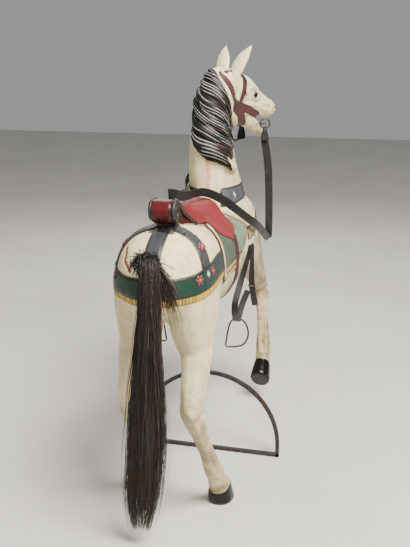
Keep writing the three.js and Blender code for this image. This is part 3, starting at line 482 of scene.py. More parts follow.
class Graph:
    """A material's node tree, built by short calls that return sockets."""

    def __init__(self, name: str) -> None:
        """Starts a material with one Principled shader.

        Args:
            name: Name of the material.
        """
        self.material = bpy.data.materials.new(name)
        self.material.use_nodes = True
        self.nodes = self.material.node_tree.nodes
        self.links = self.material.node_tree.links
        self.shader = self.nodes["Principled BSDF"]
        self.place = self.nodes.new("ShaderNodeTexCoord").outputs["Object"]

    def _join(self, socket: bpy.types.NodeSocket, value: object) -> None:
        """Links a socket, or sets its own value.

        Args:
            socket: The socket.
            value: Another socket, a number or a colour.
        """
        if isinstance(value, bpy.types.NodeSocket):
            self.links.new(value, socket)
        elif isinstance(value, tuple) and len(value) == 3 and socket.type == "RGBA":
            socket.default_value = (*value, 1.0)
        else:
            socket.default_value = value

    def stored(self, name: str, output: str = "Fac") -> bpy.types.NodeSocket:
        """A number stored on the mesh, or a colour when the output is Color.

        Args:
            name: Name that it is stored under.
            output: Which output of the node is read.

        Returns:
            The socket.
        """
        node = self.nodes.new("ShaderNodeAttribute")
        node.attribute_name = name
        return node.outputs[output]

    def math(self, kind: str, a: object, b: object = 0.0) -> bpy.types.NodeSocket:
        """One Math node.

        Args:
            kind: What the node does.
            a: First number or socket.
            b: Second number or socket.

        Returns:
            The result.
        """
        node = self.nodes.new("ShaderNodeMath")
        node.operation = kind
        for socket, value in zip(node.inputs, (a, b)):
            self._join(socket, value)
        return node.outputs[0]

    def times(self, a: object, b: object) -> bpy.types.NodeSocket:
        """The product of two numbers."""
        return self.math("MULTIPLY", a, b)

    def between(self, value: object, low: float, high: float, start: float = 0.0,
                end: float = 1.0) -> bpy.types.NodeSocket:
        """Maps a value from low..high to start..end, smoothly and clamped.

        Args:
            value: The socket that is mapped.
            low: Where it starts to count.
            high: Where it has its full effect.
            start: Result at low.
            end: Result at high.

        Returns:
            The mapped value.
        """
        node = self.nodes.new("ShaderNodeMapRange")
        node.interpolation_type = "SMOOTHSTEP"
        for socket, number in (("Value", value), ("From Min", low), ("From Max", high),
                               ("To Min", start), ("To Max", end)):
            self._join(node.inputs[socket], number)
        return node.outputs["Result"]

    def mix(self, share: object, a: object, b: object, blend: str = "MIX") -> bpy.types.NodeSocket:
        """A colour mix of a and b.

        Args:
            share: How much of b shows.
            a: Colour beneath.
            b: Colour above.
            blend: How they are mixed.

        Returns:
            The mixed colour.
        """
        node = self.nodes.new("ShaderNodeMix")
        node.data_type = "RGBA"
        node.blend_type = blend
        for index, value in ((0, share), (6, a), (7, b)):  # the node's factor and its two colours
            self._join(node.inputs[index], value)
        return node.outputs[2]

    def stretched(self, scale: Point) -> bpy.types.NodeSocket:
        """The object's coordinates, scaled along each axis.

        Args:
            scale: Scale along each axis.

        Returns:
            The scaled coordinates.
        """
        node = self.nodes.new("ShaderNodeMapping")
        self.links.new(self.place, node.inputs["Vector"])
        node.inputs["Scale"].default_value = scale
        return node.outputs["Vector"]

    def noise(self, scale: float, detail: float = 3.0, rough: float = 0.5,
              along: object = None) -> bpy.types.NodeSocket:
        """A noise value from about 0.2 to 0.8.

        Args:
            scale: Scale of the pattern.
            detail: Number of finer layers.
            rough: Strength of the finer layers.
            along: Coordinates, if not the object's own.

        Returns:
            The value.
        """
        node = self.nodes.new("ShaderNodeTexNoise")
        self.links.new(along or self.place, node.inputs["Vector"])
        for socket, value in (("Scale", scale), ("Detail", detail), ("Roughness", rough)):
            node.inputs[socket].default_value = value
        return node.outputs["Fac"]

    def cracks(self, scale: float, along: object = None) -> bpy.types.NodeSocket:
        """Distance to the nearest edge of a cell pattern.

        Args:
            scale: Scale of the pattern.
            along: Coordinates, if not the object's own.

        Returns:
            The distance.
        """
        node = self.nodes.new("ShaderNodeTexVoronoi")
        node.feature = "DISTANCE_TO_EDGE"
        self.links.new(along or self.place, node.inputs["Vector"])
        node.inputs["Scale"].default_value = scale
        return node.outputs["Distance"]

    def bump(self, height: object, distance: float, strength: float,
             over: object = None) -> bpy.types.NodeSocket:
        """A bump of a height, over another bump if given.

        Args:
            height: Height of the surface.
            distance: How high it is in metres.
            strength: How strongly it shows.
            over: Another bump beneath.

        Returns:
            The changed normal.
        """
        node = self.nodes.new("ShaderNodeBump")
        node.inputs["Strength"].default_value = strength
        node.inputs["Distance"].default_value = distance
        self._join(node.inputs["Height"], height)
        if over is not None:
            self.links.new(over, node.inputs["Normal"])
        return node.outputs["Normal"]

    def finish(self, colour: object, rough: object, normal: object = None,
               **constants: float) -> bpy.types.Material:
        """Sets the shader's sockets.

        Args:
            colour: Base colour, a socket or a colour.
            rough: Roughness, a socket or a number.
            normal: Bump socket, if any.
            constants: Other shader sockets, with spaces in their names as underscores.

        Returns:
            The finished material.
        """
        self._join(self.shader.inputs["Base Color"], colour)
        self._join(self.shader.inputs["Roughness"], rough)
        if normal is not None:
            self.links.new(normal, self.shader.inputs["Normal"])
        for name, value in constants.items():
            self.shader.inputs[name.replace("_", " ")].default_value = value
        return self.material


@dataclass(frozen=True)
class Zone:
    """One painted zone of the carving: where it is read from, its colour and its outline."""

    name: str
    colour: int
    outline: float  # half width of the dark line round it, in millimetres; 0 for a soft edge
    rough: float = 0.42
    wear: float = 0.62  # how much light its worn patches keep


ZONES = (
    Zone("blanket_trim", 0x4A1B1B, 1.4),
    Zone("blanket_edge", 0xD9BC8C, 2.0),
    Zone("blanket", 0x78886E, 2.0),
    Zone("blanket_rear", 0x4C5A46, 0.0),
    Zone("patch", 0xC08F58, 1.8),
    Zone("girth", 0x472224, 2.2),
    Zone("breast", 0x9A875F, 2.2),
    Zone("collar", 0x4C4F4E, 2.4),
    Zone("fringe", 0xC2A03F, 0.8, 0.55),
    Zone("crupper", 0x35373A, 3.2, 0.42, 0.75),
    Zone("breeching", 0x1B382E, 3.6, 0.35, 0.8),
    Zone("breeching_front", 0x2F3836, 0.0, 0.4, 0.8),
    Zone("saddle", 0x7C2A2D, 3.0, 0.46, 0.78),
    # painted shade: the cantle's roll and the panels at its sides are the saddle's red painted
    # darker
    Zone("roll", 0x4C1014, 0.0, 0.34, 0.8),
    Zone("panel", 0x3D1113, 1.6, 0.3),
    Zone("bridle", 0x4B2A2B, 1.4, 0.42, 0.8),
    Zone("hoof", 0x0E0D0C, 0.1, 0.22),
)


@dataclass(frozen=True)
class PaintedWood:
    """Old oil paint on carved wood: cream body with brush marks, fine cracks and brown dirt, and
    painted shade in the hollows, under the chin and under the cantle roll.
    """

    cream: int = 0xE9DAAF
    yellowed: int = 0xD3C193
    shade: int = 0xB9A677
    # brown of the dirt on the low legs and of the painted shade under the chin and in the hollows;
    # open cracks take it too
    dirt_and_shade: int = 0x6E5833
    line: int = 0x161412
    fringe_gap: int = 0x4A3D1C
    # colour of the painted shade in the carving's hollows
    hollow: int = 0x3A2F1D
    # painted lines, cracks and stains, and a painted shadow under the roll: the number they are
    # read from, their colour and strength
    marks: tuple[tuple[str, int, float], ...] = (
        ("lines", 0x171411, 0.95), ("crack", 0x6A1E10, 0.9), ("streak", 0xC0614A, 0.55),
        ("groove", 0x2A2418, 0.75), ("shadow", 0x14100E, 0.9))

    def _body(self, g: Graph, brushed: object) -> bpy.types.NodeSocket:
        """The cream ground with its brush marks, yellowed patches, and its dirt and painted shade.

        Args:
            g: The material's graph.
            brushed: The brush marks' pattern.

        Returns:
            The ground's colour.
        """
        body = g.mix(g.between(brushed, 0.3, 0.75), shade_of(self.cream), shade_of(self.yellowed))
        broad = g.between(g.noise(7.0, 4.0), 0.48, 0.72, 0.0, 0.55)
        body = g.mix(broad, body, shade_of(self.shade))
        uneven = g.between(g.noise(16.0, 5.0, 0.65), 0.3, 0.7, 0.25, 1.0)
        # dirt and painted shade, laid unevenly
        return g.mix(g.times(g.stored("dirt_and_shade"), uneven), body, shade_of(self.dirt_and_shade))

    def _zone(self, g: Graph, zone: Zone, colour: object,
              rough: object) -> tuple[bpy.types.NodeSocket, bpy.types.NodeSocket]:
        """Paints one zone and its outline over what is there.

        Args:
            g: The material's graph.
            zone: The zone.
            colour: Colour so far.
            rough: Roughness so far.

        Returns:
            The colour and the roughness with the zone.
        """
        depth = g.stored(zone.name)
        soft = 0.5 if zone.outline else 5.0
        inside = g.between(depth, -soft, soft)
        worn = g.between(g.noise(30.0, 4.0, 0.6, g.stretched((1.0, 1.0, 0.35))), 0.35, 0.7)
        paint = g.mix(worn, shade_of(zone.colour), darker(zone.colour, zone.wear))
        if zone.name == "fringe":
            gaps = g.between(g.math("SINE", g.stored("fringe_turn")), 0.25, 0.95, 0.0, 0.85)
            paint = g.mix(gaps, paint, shade_of(self.fringe_gap))
        colour = g.mix(inside, colour, paint)
        rough = g.math("ADD", g.times(rough, g.math("SUBTRACT", 1.0, inside)),
                       g.times(inside, zone.rough))
        if zone.outline:
            edge = g.between(g.math("ABSOLUTE", depth), zone.outline * 0.6, zone.outline * 1.3,
                             0.92, 0.0)
            colour = g.mix(edge, colour, shade_of(self.line))
        return colour, rough

    def build(self) -> bpy.types.Material:
        """Builds the whole figure's paint from the zones stored on its mesh.

        Returns:
            The material.
        """
        g = Graph("painted_wood")
        brushed = g.noise(1.0, 4.0, 0.6, g.stretched((70.0, 70.0, 9.0)))
        colour = self._body(g, brushed)
        rough = g.between(brushed, 0.3, 0.7, 0.42, 0.6)
        for zone in ZONES:
            colour, rough = self._zone(g, zone, colour, rough)
        for name, tint, strength in self.marks:
            share = g.times(g.between(g.stored(name), -0.7, 0.7), strength)
            colour = g.mix(share, colour, shade_of(tint))
        # painted shade: the carving's hollows are darkened
        hollow = g.between(g.stored("hollow"), 0.25, 1.5, 0.0, 0.65)
        colour = g.mix(hollow, colour, shade_of(self.hollow))
        cells = g.cracks(95.0, g.stretched((1.0, 1.0, 0.6)))
        open_cracks = g.times(g.between(cells, 0.0, 0.05, 1.0, 0.0),
                              g.between(g.noise(9.0), 0.4, 0.65))
        colour = g.mix(g.times(open_cracks, 0.35), colour, shade_of(self.dirt_and_shade))
        tool_marks = g.bump(g.noise(22.0, 2.0), 0.004, 0.35)
        brush_marks = g.bump(brushed, 0.0006, 0.5, tool_marks)
        normal = g.bump(g.math("SUBTRACT", 1.0, open_cracks), 0.0005, 0.5, brush_marks)
        return g.finish(colour, rough, normal, Specular_IOR_Level=0.3)


@dataclass(frozen=True)
class StoredPaint:
    """Paint whose colour is stored on the mesh, such as the mane's strands and the rosettes."""

    name: str
    rough: float

    def build(self) -> bpy.types.Material:
        """Builds the paint.

        Returns:
            The material.
        """
        g = Graph(self.name)
        speck = g.between(g.noise(160.0, 4.0), 0.35, 0.7, 0.7, 1.1)
        colour = g.mix(1.0, g.stored("paint", "Color"), speck, "MULTIPLY")
        normal = g.bump(g.noise(260.0), 0.0006, 0.5)
        return g.finish(colour, self.rough, normal, Specular_IOR_Level=0.25)


@dataclass(frozen=True)
class PlainPaint:
    """One even paint, broken by slight wear."""

    name: str
    colour: int
    rough: float

    def build(self) -> bpy.types.Material:
        """Builds the paint.

        Returns:
            The material.
        """
        g = Graph(self.name)
        worn = g.between(g.noise(60.0, 4.0), 0.35, 0.7)
        colour = g.mix(worn, shade_of(self.colour), darker(self.colour, 0.5))
        return g.finish(colour, self.rough, g.bump(g.noise(120.0), 0.0006, 0.4))


@dataclass(frozen=True)
class StrapLeather:
    """Black strap leather with a fine grain, dull patches and brown wear."""

    black: int = 0x141211
    brown: int = 0x30251F

    def build(self) -> bpy.types.Material:
        """Builds the leather.

        Returns:
            The material.
        """
        g = Graph("black_leather")
        worn = g.between(g.noise(26.0, 5.0, 0.65), 0.5, 0.75)
        colour = g.mix(worn, shade_of(self.black), shade_of(self.brown))
        creases = g.bump(g.noise(70.0), 0.0012, 0.5)
        normal = g.bump(g.between(g.cracks(900.0), 0.0, 0.25), 0.0003, 0.5, creases)
        rough = g.between(worn, 0.0, 1.0, 0.4, 0.62)
        return g.finish(colour, rough, normal, Specular_IOR_Level=0.28)


@dataclass(frozen=True)
class OldMetal:
    """Iron or steel under worn dark paint, with rust coming through."""

    name: str
    colour: int
    rust: int
    metal: float
    rough: float
    scuffed: int = 0x6A625B

    def build(self) -> bpy.types.Material:
        """Builds the metal.

        Returns:
            The material.
        """
        g = Graph(self.name)
        spots = g.between(g.noise(55.0, 6.0, 0.7), 0.5, 0.68)
        scuffs = g.between(g.noise(140.0, 4.0), 0.45, 0.8, 0.0, 0.5)
        bare = g.mix(scuffs, shade_of(self.colour), shade_of(self.scuffed))
        colour = g.mix(spots, bare, shade_of(self.rust))
        rough = g.between(spots, 0.0, 1.0, self.rough, 0.8)
        normal = g.bump(g.noise(190.0, 5.0, 0.65), 0.0008, 0.5)
        return g.finish(colour, rough, normal, Metallic=self.metal)


@dataclass(frozen=True)
class HorseHair:
    """Coarse dark horsehair, each strand with its own shade."""

    def build(self) -> bpy.types.Material:
        """Builds the hair.

        Returns:
            The material.
        """
        g = Graph("horsehair")
        along = g.noise(40.0, along=g.stretched((1.0, 1.0, 0.2)))
        shine = g.between(along, 0.3, 0.7, 0.75, 1.25)
        colour = g.mix(1.0, g.stored("paint", "Color"), shine, "MULTIPLY")
        return g.finish(colour, 0.5, None, Specular_IOR_Level=0.5)


@dataclass(frozen=True)
class PaleFloor:
    """A plain pale studio floor."""

    light: int = 0xC9C5BE
    dull: int = 0xC2BEB6

    def build(self) -> bpy.types.Material:
        """Builds the floor's finish.

        Returns:
            The material.
        """
        g = Graph("pale_floor")
        uneven = g.between(g.noise(1.5), 0.3, 0.7)
        return g.finish(g.mix(uneven, shade_of(self.light), shade_of(self.dull)), 0.85)


# ---------------------------------------------------------------- the carved figure

@dataclass(frozen=True)
class Head:
    """The head's own frame: its origin at the poll, +X along the face, tipped and turned."""

    poll: Point = (190.0, -6.0, 1074.0)
    yaw: float = -24.0
    pitch: float = 20.0
    eye: Point = (103.0, 33.0, -9.0)
    nostril: tuple[float, float] = (221.0, -11.0)
    cheek: tuple[float, float] = (58.0, -52.0)

    def matrix(self) -> np.ndarray:
        """Turns head directions to the horse's."""
        turn = Euler((0.0, math.radians(self.pitch), math.radians(self.yaw)), "XYZ").to_matrix()
        return np.array(turn)

    def local(self, rows: np.ndarray) -> np.ndarray:
        """Points of the horse in the head's frame."""
        return (rows - np.array(self.poll)) @ self.matrix()

    def out(self, rows: np.ndarray) -> np.ndarray:
        """Points of the head's frame on the horse."""
        return rows @ self.matrix().T + np.array(self.poll)

    def mirrored(self, points: tuple[Point, ...], side: int) -> np.ndarray:
        """Points given for the right side of the head, on the side asked for.

        Args:
            points: The points.
            side: LEFT or RIGHT.

        Returns:
            The points on that side.
        """
        rows = self.local(on_side(points, RIGHT))
        if side == LEFT:
            rows[:, 1] *= -1.0
        return self.out(rows)


HEAD = Head()


@dataclass(frozen=True)
class Hoof:
    """A painted hoof: the middle of its sole, how it is tipped and turned, and its wall."""

    sole: Point
    tip: float
    turn: float
    high: float
    heel: float  # height of the heel, as a share of the toe's

    def depth(self, rows: np.ndarray) -> np.ndarray:
        """How far each vertex lies below the hoof's upper edge, negative above it.

        Args:
            rows: The vertices.

        Returns:
            Millimetres below the edge.
        """
        dx, dy, dz = (rows - np.array(self.sole)).T
        c, s = math.cos(math.radians(self.turn)), math.sin(math.radians(self.turn))
        dx, dy = dx * c + dy * s, dy * c - dx * s
        c, s = math.cos(math.radians(self.tip)), math.sin(math.radians(self.tip))
        along, up = dx * c - dz * s, dx * s + dz * c
        toe = 0.5 + 0.5 * np.clip(along / 40.0, -1, 1)
        wall = self.high * (self.heel + (1.0 - self.heel) * toe)
        near = 70.0 - np.sqrt(along ** 2 + dy ** 2 + (up * 0.6) ** 2)
        return np.minimum(wall - 2.0 - up, near)


@dataclass(frozen=True)
class Ridge:
    """A carved ridge along a line: its half width and height; a hollow's is below zero."""

    line: tuple[Point, ...]
    half: float
    lift: float

    def relief(self, rows: np.ndarray, path: np.ndarray, beside: float) -> np.ndarray:
        """The ridge along a path, with a groove on each side that is a share of it deep."""
        gap = curve_gap(rows, path) / self.half
        return self.lift * (hump(gap, 0.0, 1.0) - beside * hump(gap, 2.1, 0.8))


@dataclass
class Figure:
    """The carved horse: a fine mesh over the model's solid, with relief and painted zones."""

    voxel: float = 4.45
    rounds: int = 36  # rounds of smoothing of the coarse solid
    back_axis: float = 622.0
    croup: Point = (-400.0, 0.0, 645.0)
    chest: Point = (120.0, 0.0, 700.0)
    throat: Point = (100.0, 10.0, 830.0)

    # edges along the back, against degrees round it from the spine; hems in the same degrees
    blanket_rear: Edge = Edge(-255.0, ((-76.0, 15, 75, 1),))
    blanket_front: Edge = Edge(-112.0, ((98.0, 12, 62, 1), (-175.0, 64, 92, 1.3)))
    saddle_rear: Edge = Edge(-363.0, ((105.0, 7, 29, 1), (70.0, 34, 61, 2)))
    saddle_front: Edge = Edge(-90.0, ((-16.0, 0, 45, 1), (-76.0, 46, 61, 1)))
    girth_middle: Edge = Edge(-178.0, ((22.0, 90, 124, 1),))  # against degrees from the belly
    blanket_hem: float = 91.0
    patch_top: float = 79.0
    flap_hem: float = 60.0
    girth_top: float = 56.0
    # heights, against the place along the horse
    roll_floor: Edge = Edge(771.0, ((-22.0, -385, -335, 1),))
    breeching_top: Edge = Edge(665.0, ((26.0, -520, -350, 1),))
    breeching_high: float = 42.0
    collar: tuple[float, float] = (744.0, 784.0)
    breast: tuple[float, float] = (652.0, 682.0)
    fringe_pitch: float = 5.2  # millimetres from one thread of the fringe to the next

    crupper: tuple[Point, ...] = (
        (-372, 0, 775), (-405, 0, 763), (-445, 0, 750), (-480, 0, 732), (-508, 0, 704))
    branch: tuple[Point, ...] = (
        (-400, 8, 765), (-411, 38, 758), (-413, 60, 750), (-417, 80, 735), (-425, 94, 716),
        (-433, 106, 689), (-436, 110, 672))
    # the bridle's straps on the right side, and the width of each
    bridle: tuple[tuple[tuple[Point, ...], float], ...] = (
        (((100, 10, 1088), (101, 24, 1080), (106, 38, 1062), (123, 44, 1036), (161, 43, 1009),
          (203, 40, 981), (236, 36, 948)), 27.0),
        (((214, 30, 1092), (203, 52, 1075), (200, 53, 1059), (195, 53, 1037), (186, 45, 1011),
          (174, 44, 1002)), 16.0),
        (((196, 47, 1000), (250, 61, 985), (300, 70, 968)), 21.0))
    flatter: Point = (1.0, 0.35, 1.0)  # how much each way of the head counts for its straps

    hooves: tuple[Hoof, ...] = (
        Hoof((-277, 104, 0), 0, 18, 60, 0.56), Hoof((-277, -104, 0), 0, -18, 60, 0.56),
        Hoof((364, -81, 87), 55, 0, 67, 0.9), Hoof((215, 99, 254), 88, 0, 67, 0.9))
    # tendons and joints; the legs in front are unlike, and theirs are the right one's alone
    sinews: tuple[Ridge, ...] = (
        Ridge(((-486, 83, 332), (-469, 85, 297), (-436, 88, 252), (-400, 92, 202),
               (-350, 96, 109)), 8.0, 3.4),
        Ridge(((-448, 106, 312), (-422, 104, 260), (-366, 109, 178), (-324, 120, 112)), 7.0, 3.0),
        Ridge(((-404, 114, 488), (-426, 114, 448), (-440, 110, 393), (-446, 105, 342)), 9.0, 2.6),
        Ridge(((-486, 80, 345), (-488, 84, 330)), 15.0, 4.0),
        Ridge(((-300, 118, 74), (-318, 112, 70), (-322, 96, 66)), 10.0, 4.0),
        Ridge(((413, 64, 378), (412, 63, 330), (411, 63, 281), (395, 73, 177)), 6.5, 3.0),
        Ridge(((432, 90, 375), (413, 91, 283), (400, 96, 177)), 6.5, 2.6),
        Ridge(((416, 64, 418), (414, 62, 392)), 13.0, 4.0),
        Ridge(((330, 96, 505), (378, 90, 452), (420, 84, 412)), 9.0, 2.6))
    face: tuple[Ridge, ...] = (
        Ridge(((206, 58, 1038), (221, 62, 1049), (244, 69, 1057), (258, 72, 1051)), 5.0, 3.2),
        Ridge(((223, 55, 1004), (263, 66, 1001), (298, 79, 993), (327, 93, 984)), 6.0, 3.0),
        Ridge(((296, 79, 1004), (318, 92, 1003), (336, 100, 1001)), 5.0, 3.0),
        Ridge(((240, 55, 978), (274, 64, 953), (293, 65, 930)), 5.0, -2.2))

    # a long crack on the rump, the groove beside the tail, and a bare streak on the neck
    crack: tuple[Point, ...] = (
        (-456, 76, 721), (-475, 71, 706), (-486, 71, 695), (-502, 59, 686), (-514, 49, 678))
    groove: tuple[Point, ...] = ((-509, -25, 702), (-508, -44, 694), (-505, -57, 685))
    streak: tuple[Point, ...] = ((3, 8, 880), (1, 4, 831), (5, 5, 792))
    # small black marks on the head and neck: their lines and half widths
    tuft: tuple[Point, ...] = ((132, -13, 1099), (158, -16, 1100), (181, -16, 1099))
    ear_line: tuple[Point, ...] = ((206, -46, 1086), (203, -56, 1070))
    spot: Point = (56.0, -45.0, 831.0)

    # how far each carved zone stands out of the body
    lifts: tuple[tuple[str, float], ...] = (
        ("blanket_edge", 3.5), ("saddle", 5.0), ("girth", 2.5), ("breast", 2.5), ("collar", 2.5),
        ("crupper", 3.0), ("breeching", 3.0), ("bridle", 2.0))
    fringe_lift: float = 1.6

    fields: dict[str, np.ndarray] = field(default_factory=dict)
    obj: bpy.types.Object | None = None

    # ---- smoothing

    def _links(self) -> tuple[np.ndarray, np.ndarray, np.ndarray]:
        """The mesh's edges as two lists of ends, and each vertex's number of neighbours.

        Returns:
            The two lists of ends, and the numbers of neighbours.
        """
        mesh = self.obj.data
        flat = np.empty(len(mesh.edges) * 2, np.int64)
        mesh.edges.foreach_get("vertices", flat)
        a, b = flat[0::2], flat[1::2]
        count = len(mesh.vertices)
        return a, b, np.bincount(a, minlength=count) + np.bincount(b, minlength=count)

    def _smoothed(self, columns: np.ndarray, share: np.ndarray, rounds: int) -> np.ndarray:
        """Columns of numbers, relaxed towards their neighbours.

        Args:
            columns: One column for each number kept on a vertex.
            share: How far each vertex goes towards its neighbours in one round.
            rounds: Number of rounds.

        Returns:
            The relaxed columns.
        """
        a, b, count = self._links()
        out = columns.copy()
        for _ in range(rounds):
            for k, now in enumerate(out.copy().T):
                total = np.bincount(a, now[b], len(now)) + np.bincount(b, now[a], len(now))
                out[:, k] += share * (total / np.maximum(count, 1) - now)
        return out

    def _rounded(self, columns: np.ndarray, share: np.ndarray) -> np.ndarray:
        """Columns smoothed twice, the second time what the first took off, to keep their size."""
        soft = self._smoothed(columns, share, self.rounds)
        return soft + self._smoothed(columns - soft, share, self.rounds)

    @staticmethod
    def _softness(rows: np.ndarray, local: np.ndarray) -> np.ndarray:
        """How strongly each part is smoothed: trunk and neck well, head, ears and roll less.

        Args:
            rows: The vertices.
            local: The same in the head's frame.

        Returns:
            The share that each vertex goes in one round.
        """
        x, y, z = rows.T
        trunk = ease(z, 470, 560) * ease(900 - z, 0, 60) * ease(300 - x, 0, 60)
        neck = ease(z, 700, 780) * ease(1060 - z, 0, 40) * ease(130 - x, -40, 40)
        head = ease(local[:, 0], -60, 0)
        least = 0.10 * (1 - head) + 0.05 * head
        share = least + 0.45 * np.maximum(trunk, 0.6 * neck) * (1 - 0.9 * head)
        ears = (local[:, 2] > 30) & (local[:, 0] > -40)
        roll = (np.abs(y) < 36) & (x < -240) & (z > 770)
        return np.where(roll, 0.08, np.where(ears, 0.22, share))

    # ---- painted zones

    def _blanket(self, x: np.ndarray, down: np.ndarray, arc: np.ndarray) -> None:
        """The blanket: dark trim, pale bound edge, green field with a darker rear, brown patch.

        Args:
            x: Places along the horse.
            down: Degrees round the back from the spine.
            arc: Millimetres for one of these degrees.
        """
        f = self.fields
        rear = self.blanket_rear.at(down)
        cloth = within(x - rear, self.blanket_front.at(down) - x, (self.blanket_hem - down) * arc)
        f["blanket_trim"] = np.minimum(cloth + 8.0, rear + 40.0 - x)
        f["blanket_edge"] = cloth
        f["blanket"] = cloth - (11.0 + 6.0 * ease(rear + 30.0 - x, 0, 10))
        f["blanket_rear"] = np.minimum(f["blanket"], -150.0 - 0.6 * (90.0 - down) - x)
        f["patch"] = np.minimum(f["blanket"], (down - self.patch_top) * arc)

    def _saddle(self, rows: np.ndarray, down: np.ndarray, arc: np.ndarray) -> None:
        """The saddle with its flaps, the roll of its cantle, the roll's end panels and shadow: roll
        and panels in painted shade, and a painted shadow under the roll.

        Args:
            rows: The vertices.
            down: Degrees round the back from the spine.
            arc: Millimetres for one of these degrees.
        """
        x, y, z = rows.T
        f = self.fields
        wide = np.abs(y)
        seat = within(band(x, self.saddle_rear.at(down), self.saddle_front.at(down)),
                      (self.flap_hem - down) * arc)
        floor = self.roll_floor.at(x)
        # painted shadow under the roll
        f["shadow"] = within(band(z, 752.0, floor + 4.0), 31.0 - wide, band(x, -440.0, -378.0))
        f["saddle"] = np.maximum(seat, within(29.5 - wide, z - floor, band(x, -446.0, -240.0)))
        # the roll is painted a darker red than the seat: painted shade
        f["roll"] = np.minimum(f["saddle"], -372.0 - x)
        slope = ((z - 822.0) * 98.0 + (x + 398.0) * 72.0) / 121.6
        # the panels on the sides of the cantle's base: painted shade
        f["panel"] = within(f["saddle"], -slope, wide - 21.0, z - 745.0)

    def _harness(self, rows: np.ndarray, down: np.ndarray, arc: np.ndarray,
                 radius: np.ndarray) -> None:
        """The girth, breeching with its fringe, collar, breast band and crupper.

        Args:
            rows: The vertices.
            down: Degrees round the back from the spine.
            arc: Millimetres for one of these degrees.
            radius: Distance from the back's axis.
        """
        x, y, z = rows.T
        f = self.fields
        girth = 19.0 - np.abs(x - self.girth_middle.at(180.0 - down))
        f["girth"] = within(girth, (down - self.girth_top) * arc, 160.0 - radius)

        top = self.breeching_top.at(x)
        from_croup = x - self.croup[0]
        behind = within(self.blanket_rear.at(down) - x, 170.0 - np.hypot(from_croup, y))
        f["breeching"] = within(band(z, top - self.breeching_high, top), behind)
        f["breeching_front"] = np.minimum(f["breeching"], x + 448.0)
        f["fringe"] = within(band(z, top - 61.0, top - 40.0), behind)
        heading = np.arctan2(y, from_croup)
        wave = 0.9 * np.sin(heading * 60)
        f["fringe_turn"] = heading * 150.0 / self.fringe_pitch * math.pi + wave

        from_chest = x - self.chest[0]
        aim = np.abs(np.degrees(np.arctan2(y, from_chest)))
        near = np.hypot(from_chest, y)
        f["collar"] = within(band(z, *self.collar), (164.0 - aim) * 1.5, x + 28.0, 230.0 - near)
        f["breast"] = within(band(z, *self.breast), (138.0 - aim) * 2.0, x + 30.0, 240.0 - near)

        straps = [(on_side(self.crupper, LEFT), 36.0), (on_side(self.branch, LEFT), 29.0),
                  (on_side(self.branch, RIGHT), 29.0)]
        depths = [strap_depth(rows, path, self.croup, wide) for path, wide in straps]
        f["crupper"] = np.minimum(np.maximum.reduce(depths), z - top)

    def _bridle(self, local: np.ndarray) -> np.ndarray:
        """How far each vertex lies inside the straps on both sides of the head.

        Args:
            local: The vertices in the head's frame.

        Returns:
            Millimetres inside the straps.
        """
        depth = np.full(len(local), OUTSIDE)
        for side in (LEFT, RIGHT):
            near = local[:, 1] * side > -3.0
            for points, wide in self.bridle:
                path = HEAD.local(HEAD.mirrored(points, side))
                gap = curve_gap(local * self.flatter, path * self.flatter)
                depth = np.maximum(depth, np.where(near, wide / 2.0 - gap, OUTSIDE))
        return depth

    def _zones(self, rows: np.ndarray, local: np.ndarray) -> None:
        """Works out how far each vertex lies inside each painted zone.

        Args:
            rows: The vertices.
            local: The same in the head's frame.
        """
        x, y, z = rows.T
        down = np.abs(np.degrees(np.arctan2(y, z - self.back_axis)))
        radius = np.hypot(y, z - self.back_axis)
        arc = radius * math.pi / 180.0  # millimetres for each degree round the back
        self._blanket(x, down, arc)
        self._saddle(rows, down, arc)
        self._harness(rows, down, arc, radius)
        self.fields["bridle"] = self._bridle(local)
        self.fields["hoof"] = np.maximum.reduce([hoof.depth(rows) for hoof in self.hooves])

    # ---- relief

    def _ridges(self, rows: np.ndarray) -> np.ndarray:
        """Carved planes of the face, tendons and joints of the legs, in millimetres of relief.

        Args:
            rows: The vertices.

        Returns:
            The relief of each vertex.
        """
        relief = np.zeros(len(rows))
        for side in (LEFT, RIGHT):
            for ridge in self.sinews:
                if side == RIGHT or ridge.line[0][0] < 0:
                    relief += ridge.relief(rows, on_side(ridge.line, side), 0.5)
            for ridge in self.face:
                relief += ridge.relief(rows, HEAD.mirrored(ridge.line, side), 0.4)
        return relief

    def _features(self, local: np.ndarray) -> np.ndarray:
        """Lids, brows, nostrils and cheeks of the head, and the dark lines in them.

        Args:
            local: The vertices in the head's frame.

        Returns:
            Millimetres of relief.
        """
        along, out, up = local.T
        to_eye, over_eye = along - HEAD.eye[0], up - HEAD.eye[2]
        to_nose = along - HEAD.nostril[0]
        ring = np.hypot((to_eye + 0.25 * over_eye) / 15.0, over_eye / 8.5)
        lid = 2.6 * hump(ring, 1.25, 0.28) - 3.5 * hump(ring, 0.0, 0.8)
        brow = 5.0 * mound(to_eye + 6, over_eye - 17, 22.0, 7.0)
        under = -1.8 * mound(to_eye - 16, over_eye + 16, 20.0, 6.0)
        hole = np.hypot(to_nose / 8.0, (up - HEAD.nostril[1] - 0.4 * to_nose) / 5.5)
        nostril = 2.2 * hump(hole, 1.5, 0.4) - 5.0 * hump(hole, 0.0, 1.0)
        disc = np.hypot((along - HEAD.cheek[0]) / 40.0, (up - HEAD.cheek[1]) / 38.0)
        cheek = 2.5 * hump(disc, 0.9, 0.22) * (along > 48)
        relief = np.zeros(len(local))
        lines = np.full(len(local), OUTSIDE)
        for side in (LEFT, RIGHT):
            by_eye = (out * side > 8.0) & (np.abs(to_eye) < 60)
            by_nose = (out * side > 6.0) & (along > 195)
            relief += np.where(by_eye, lid + brow + under, 0.0)
            relief += np.where(by_nose, nostril, 0.0)
            relief += np.where(out * side > 10.0, cheek, 0.0)
            lines = np.maximum(lines, np.where(by_eye, (0.5 - ring) * 8.0, OUTSIDE))
            lines = np.maximum(lines, np.where(by_nose, (0.8 - hole) * 5.0, OUTSIDE))
        self.fields["lines"] = lines
        return relief

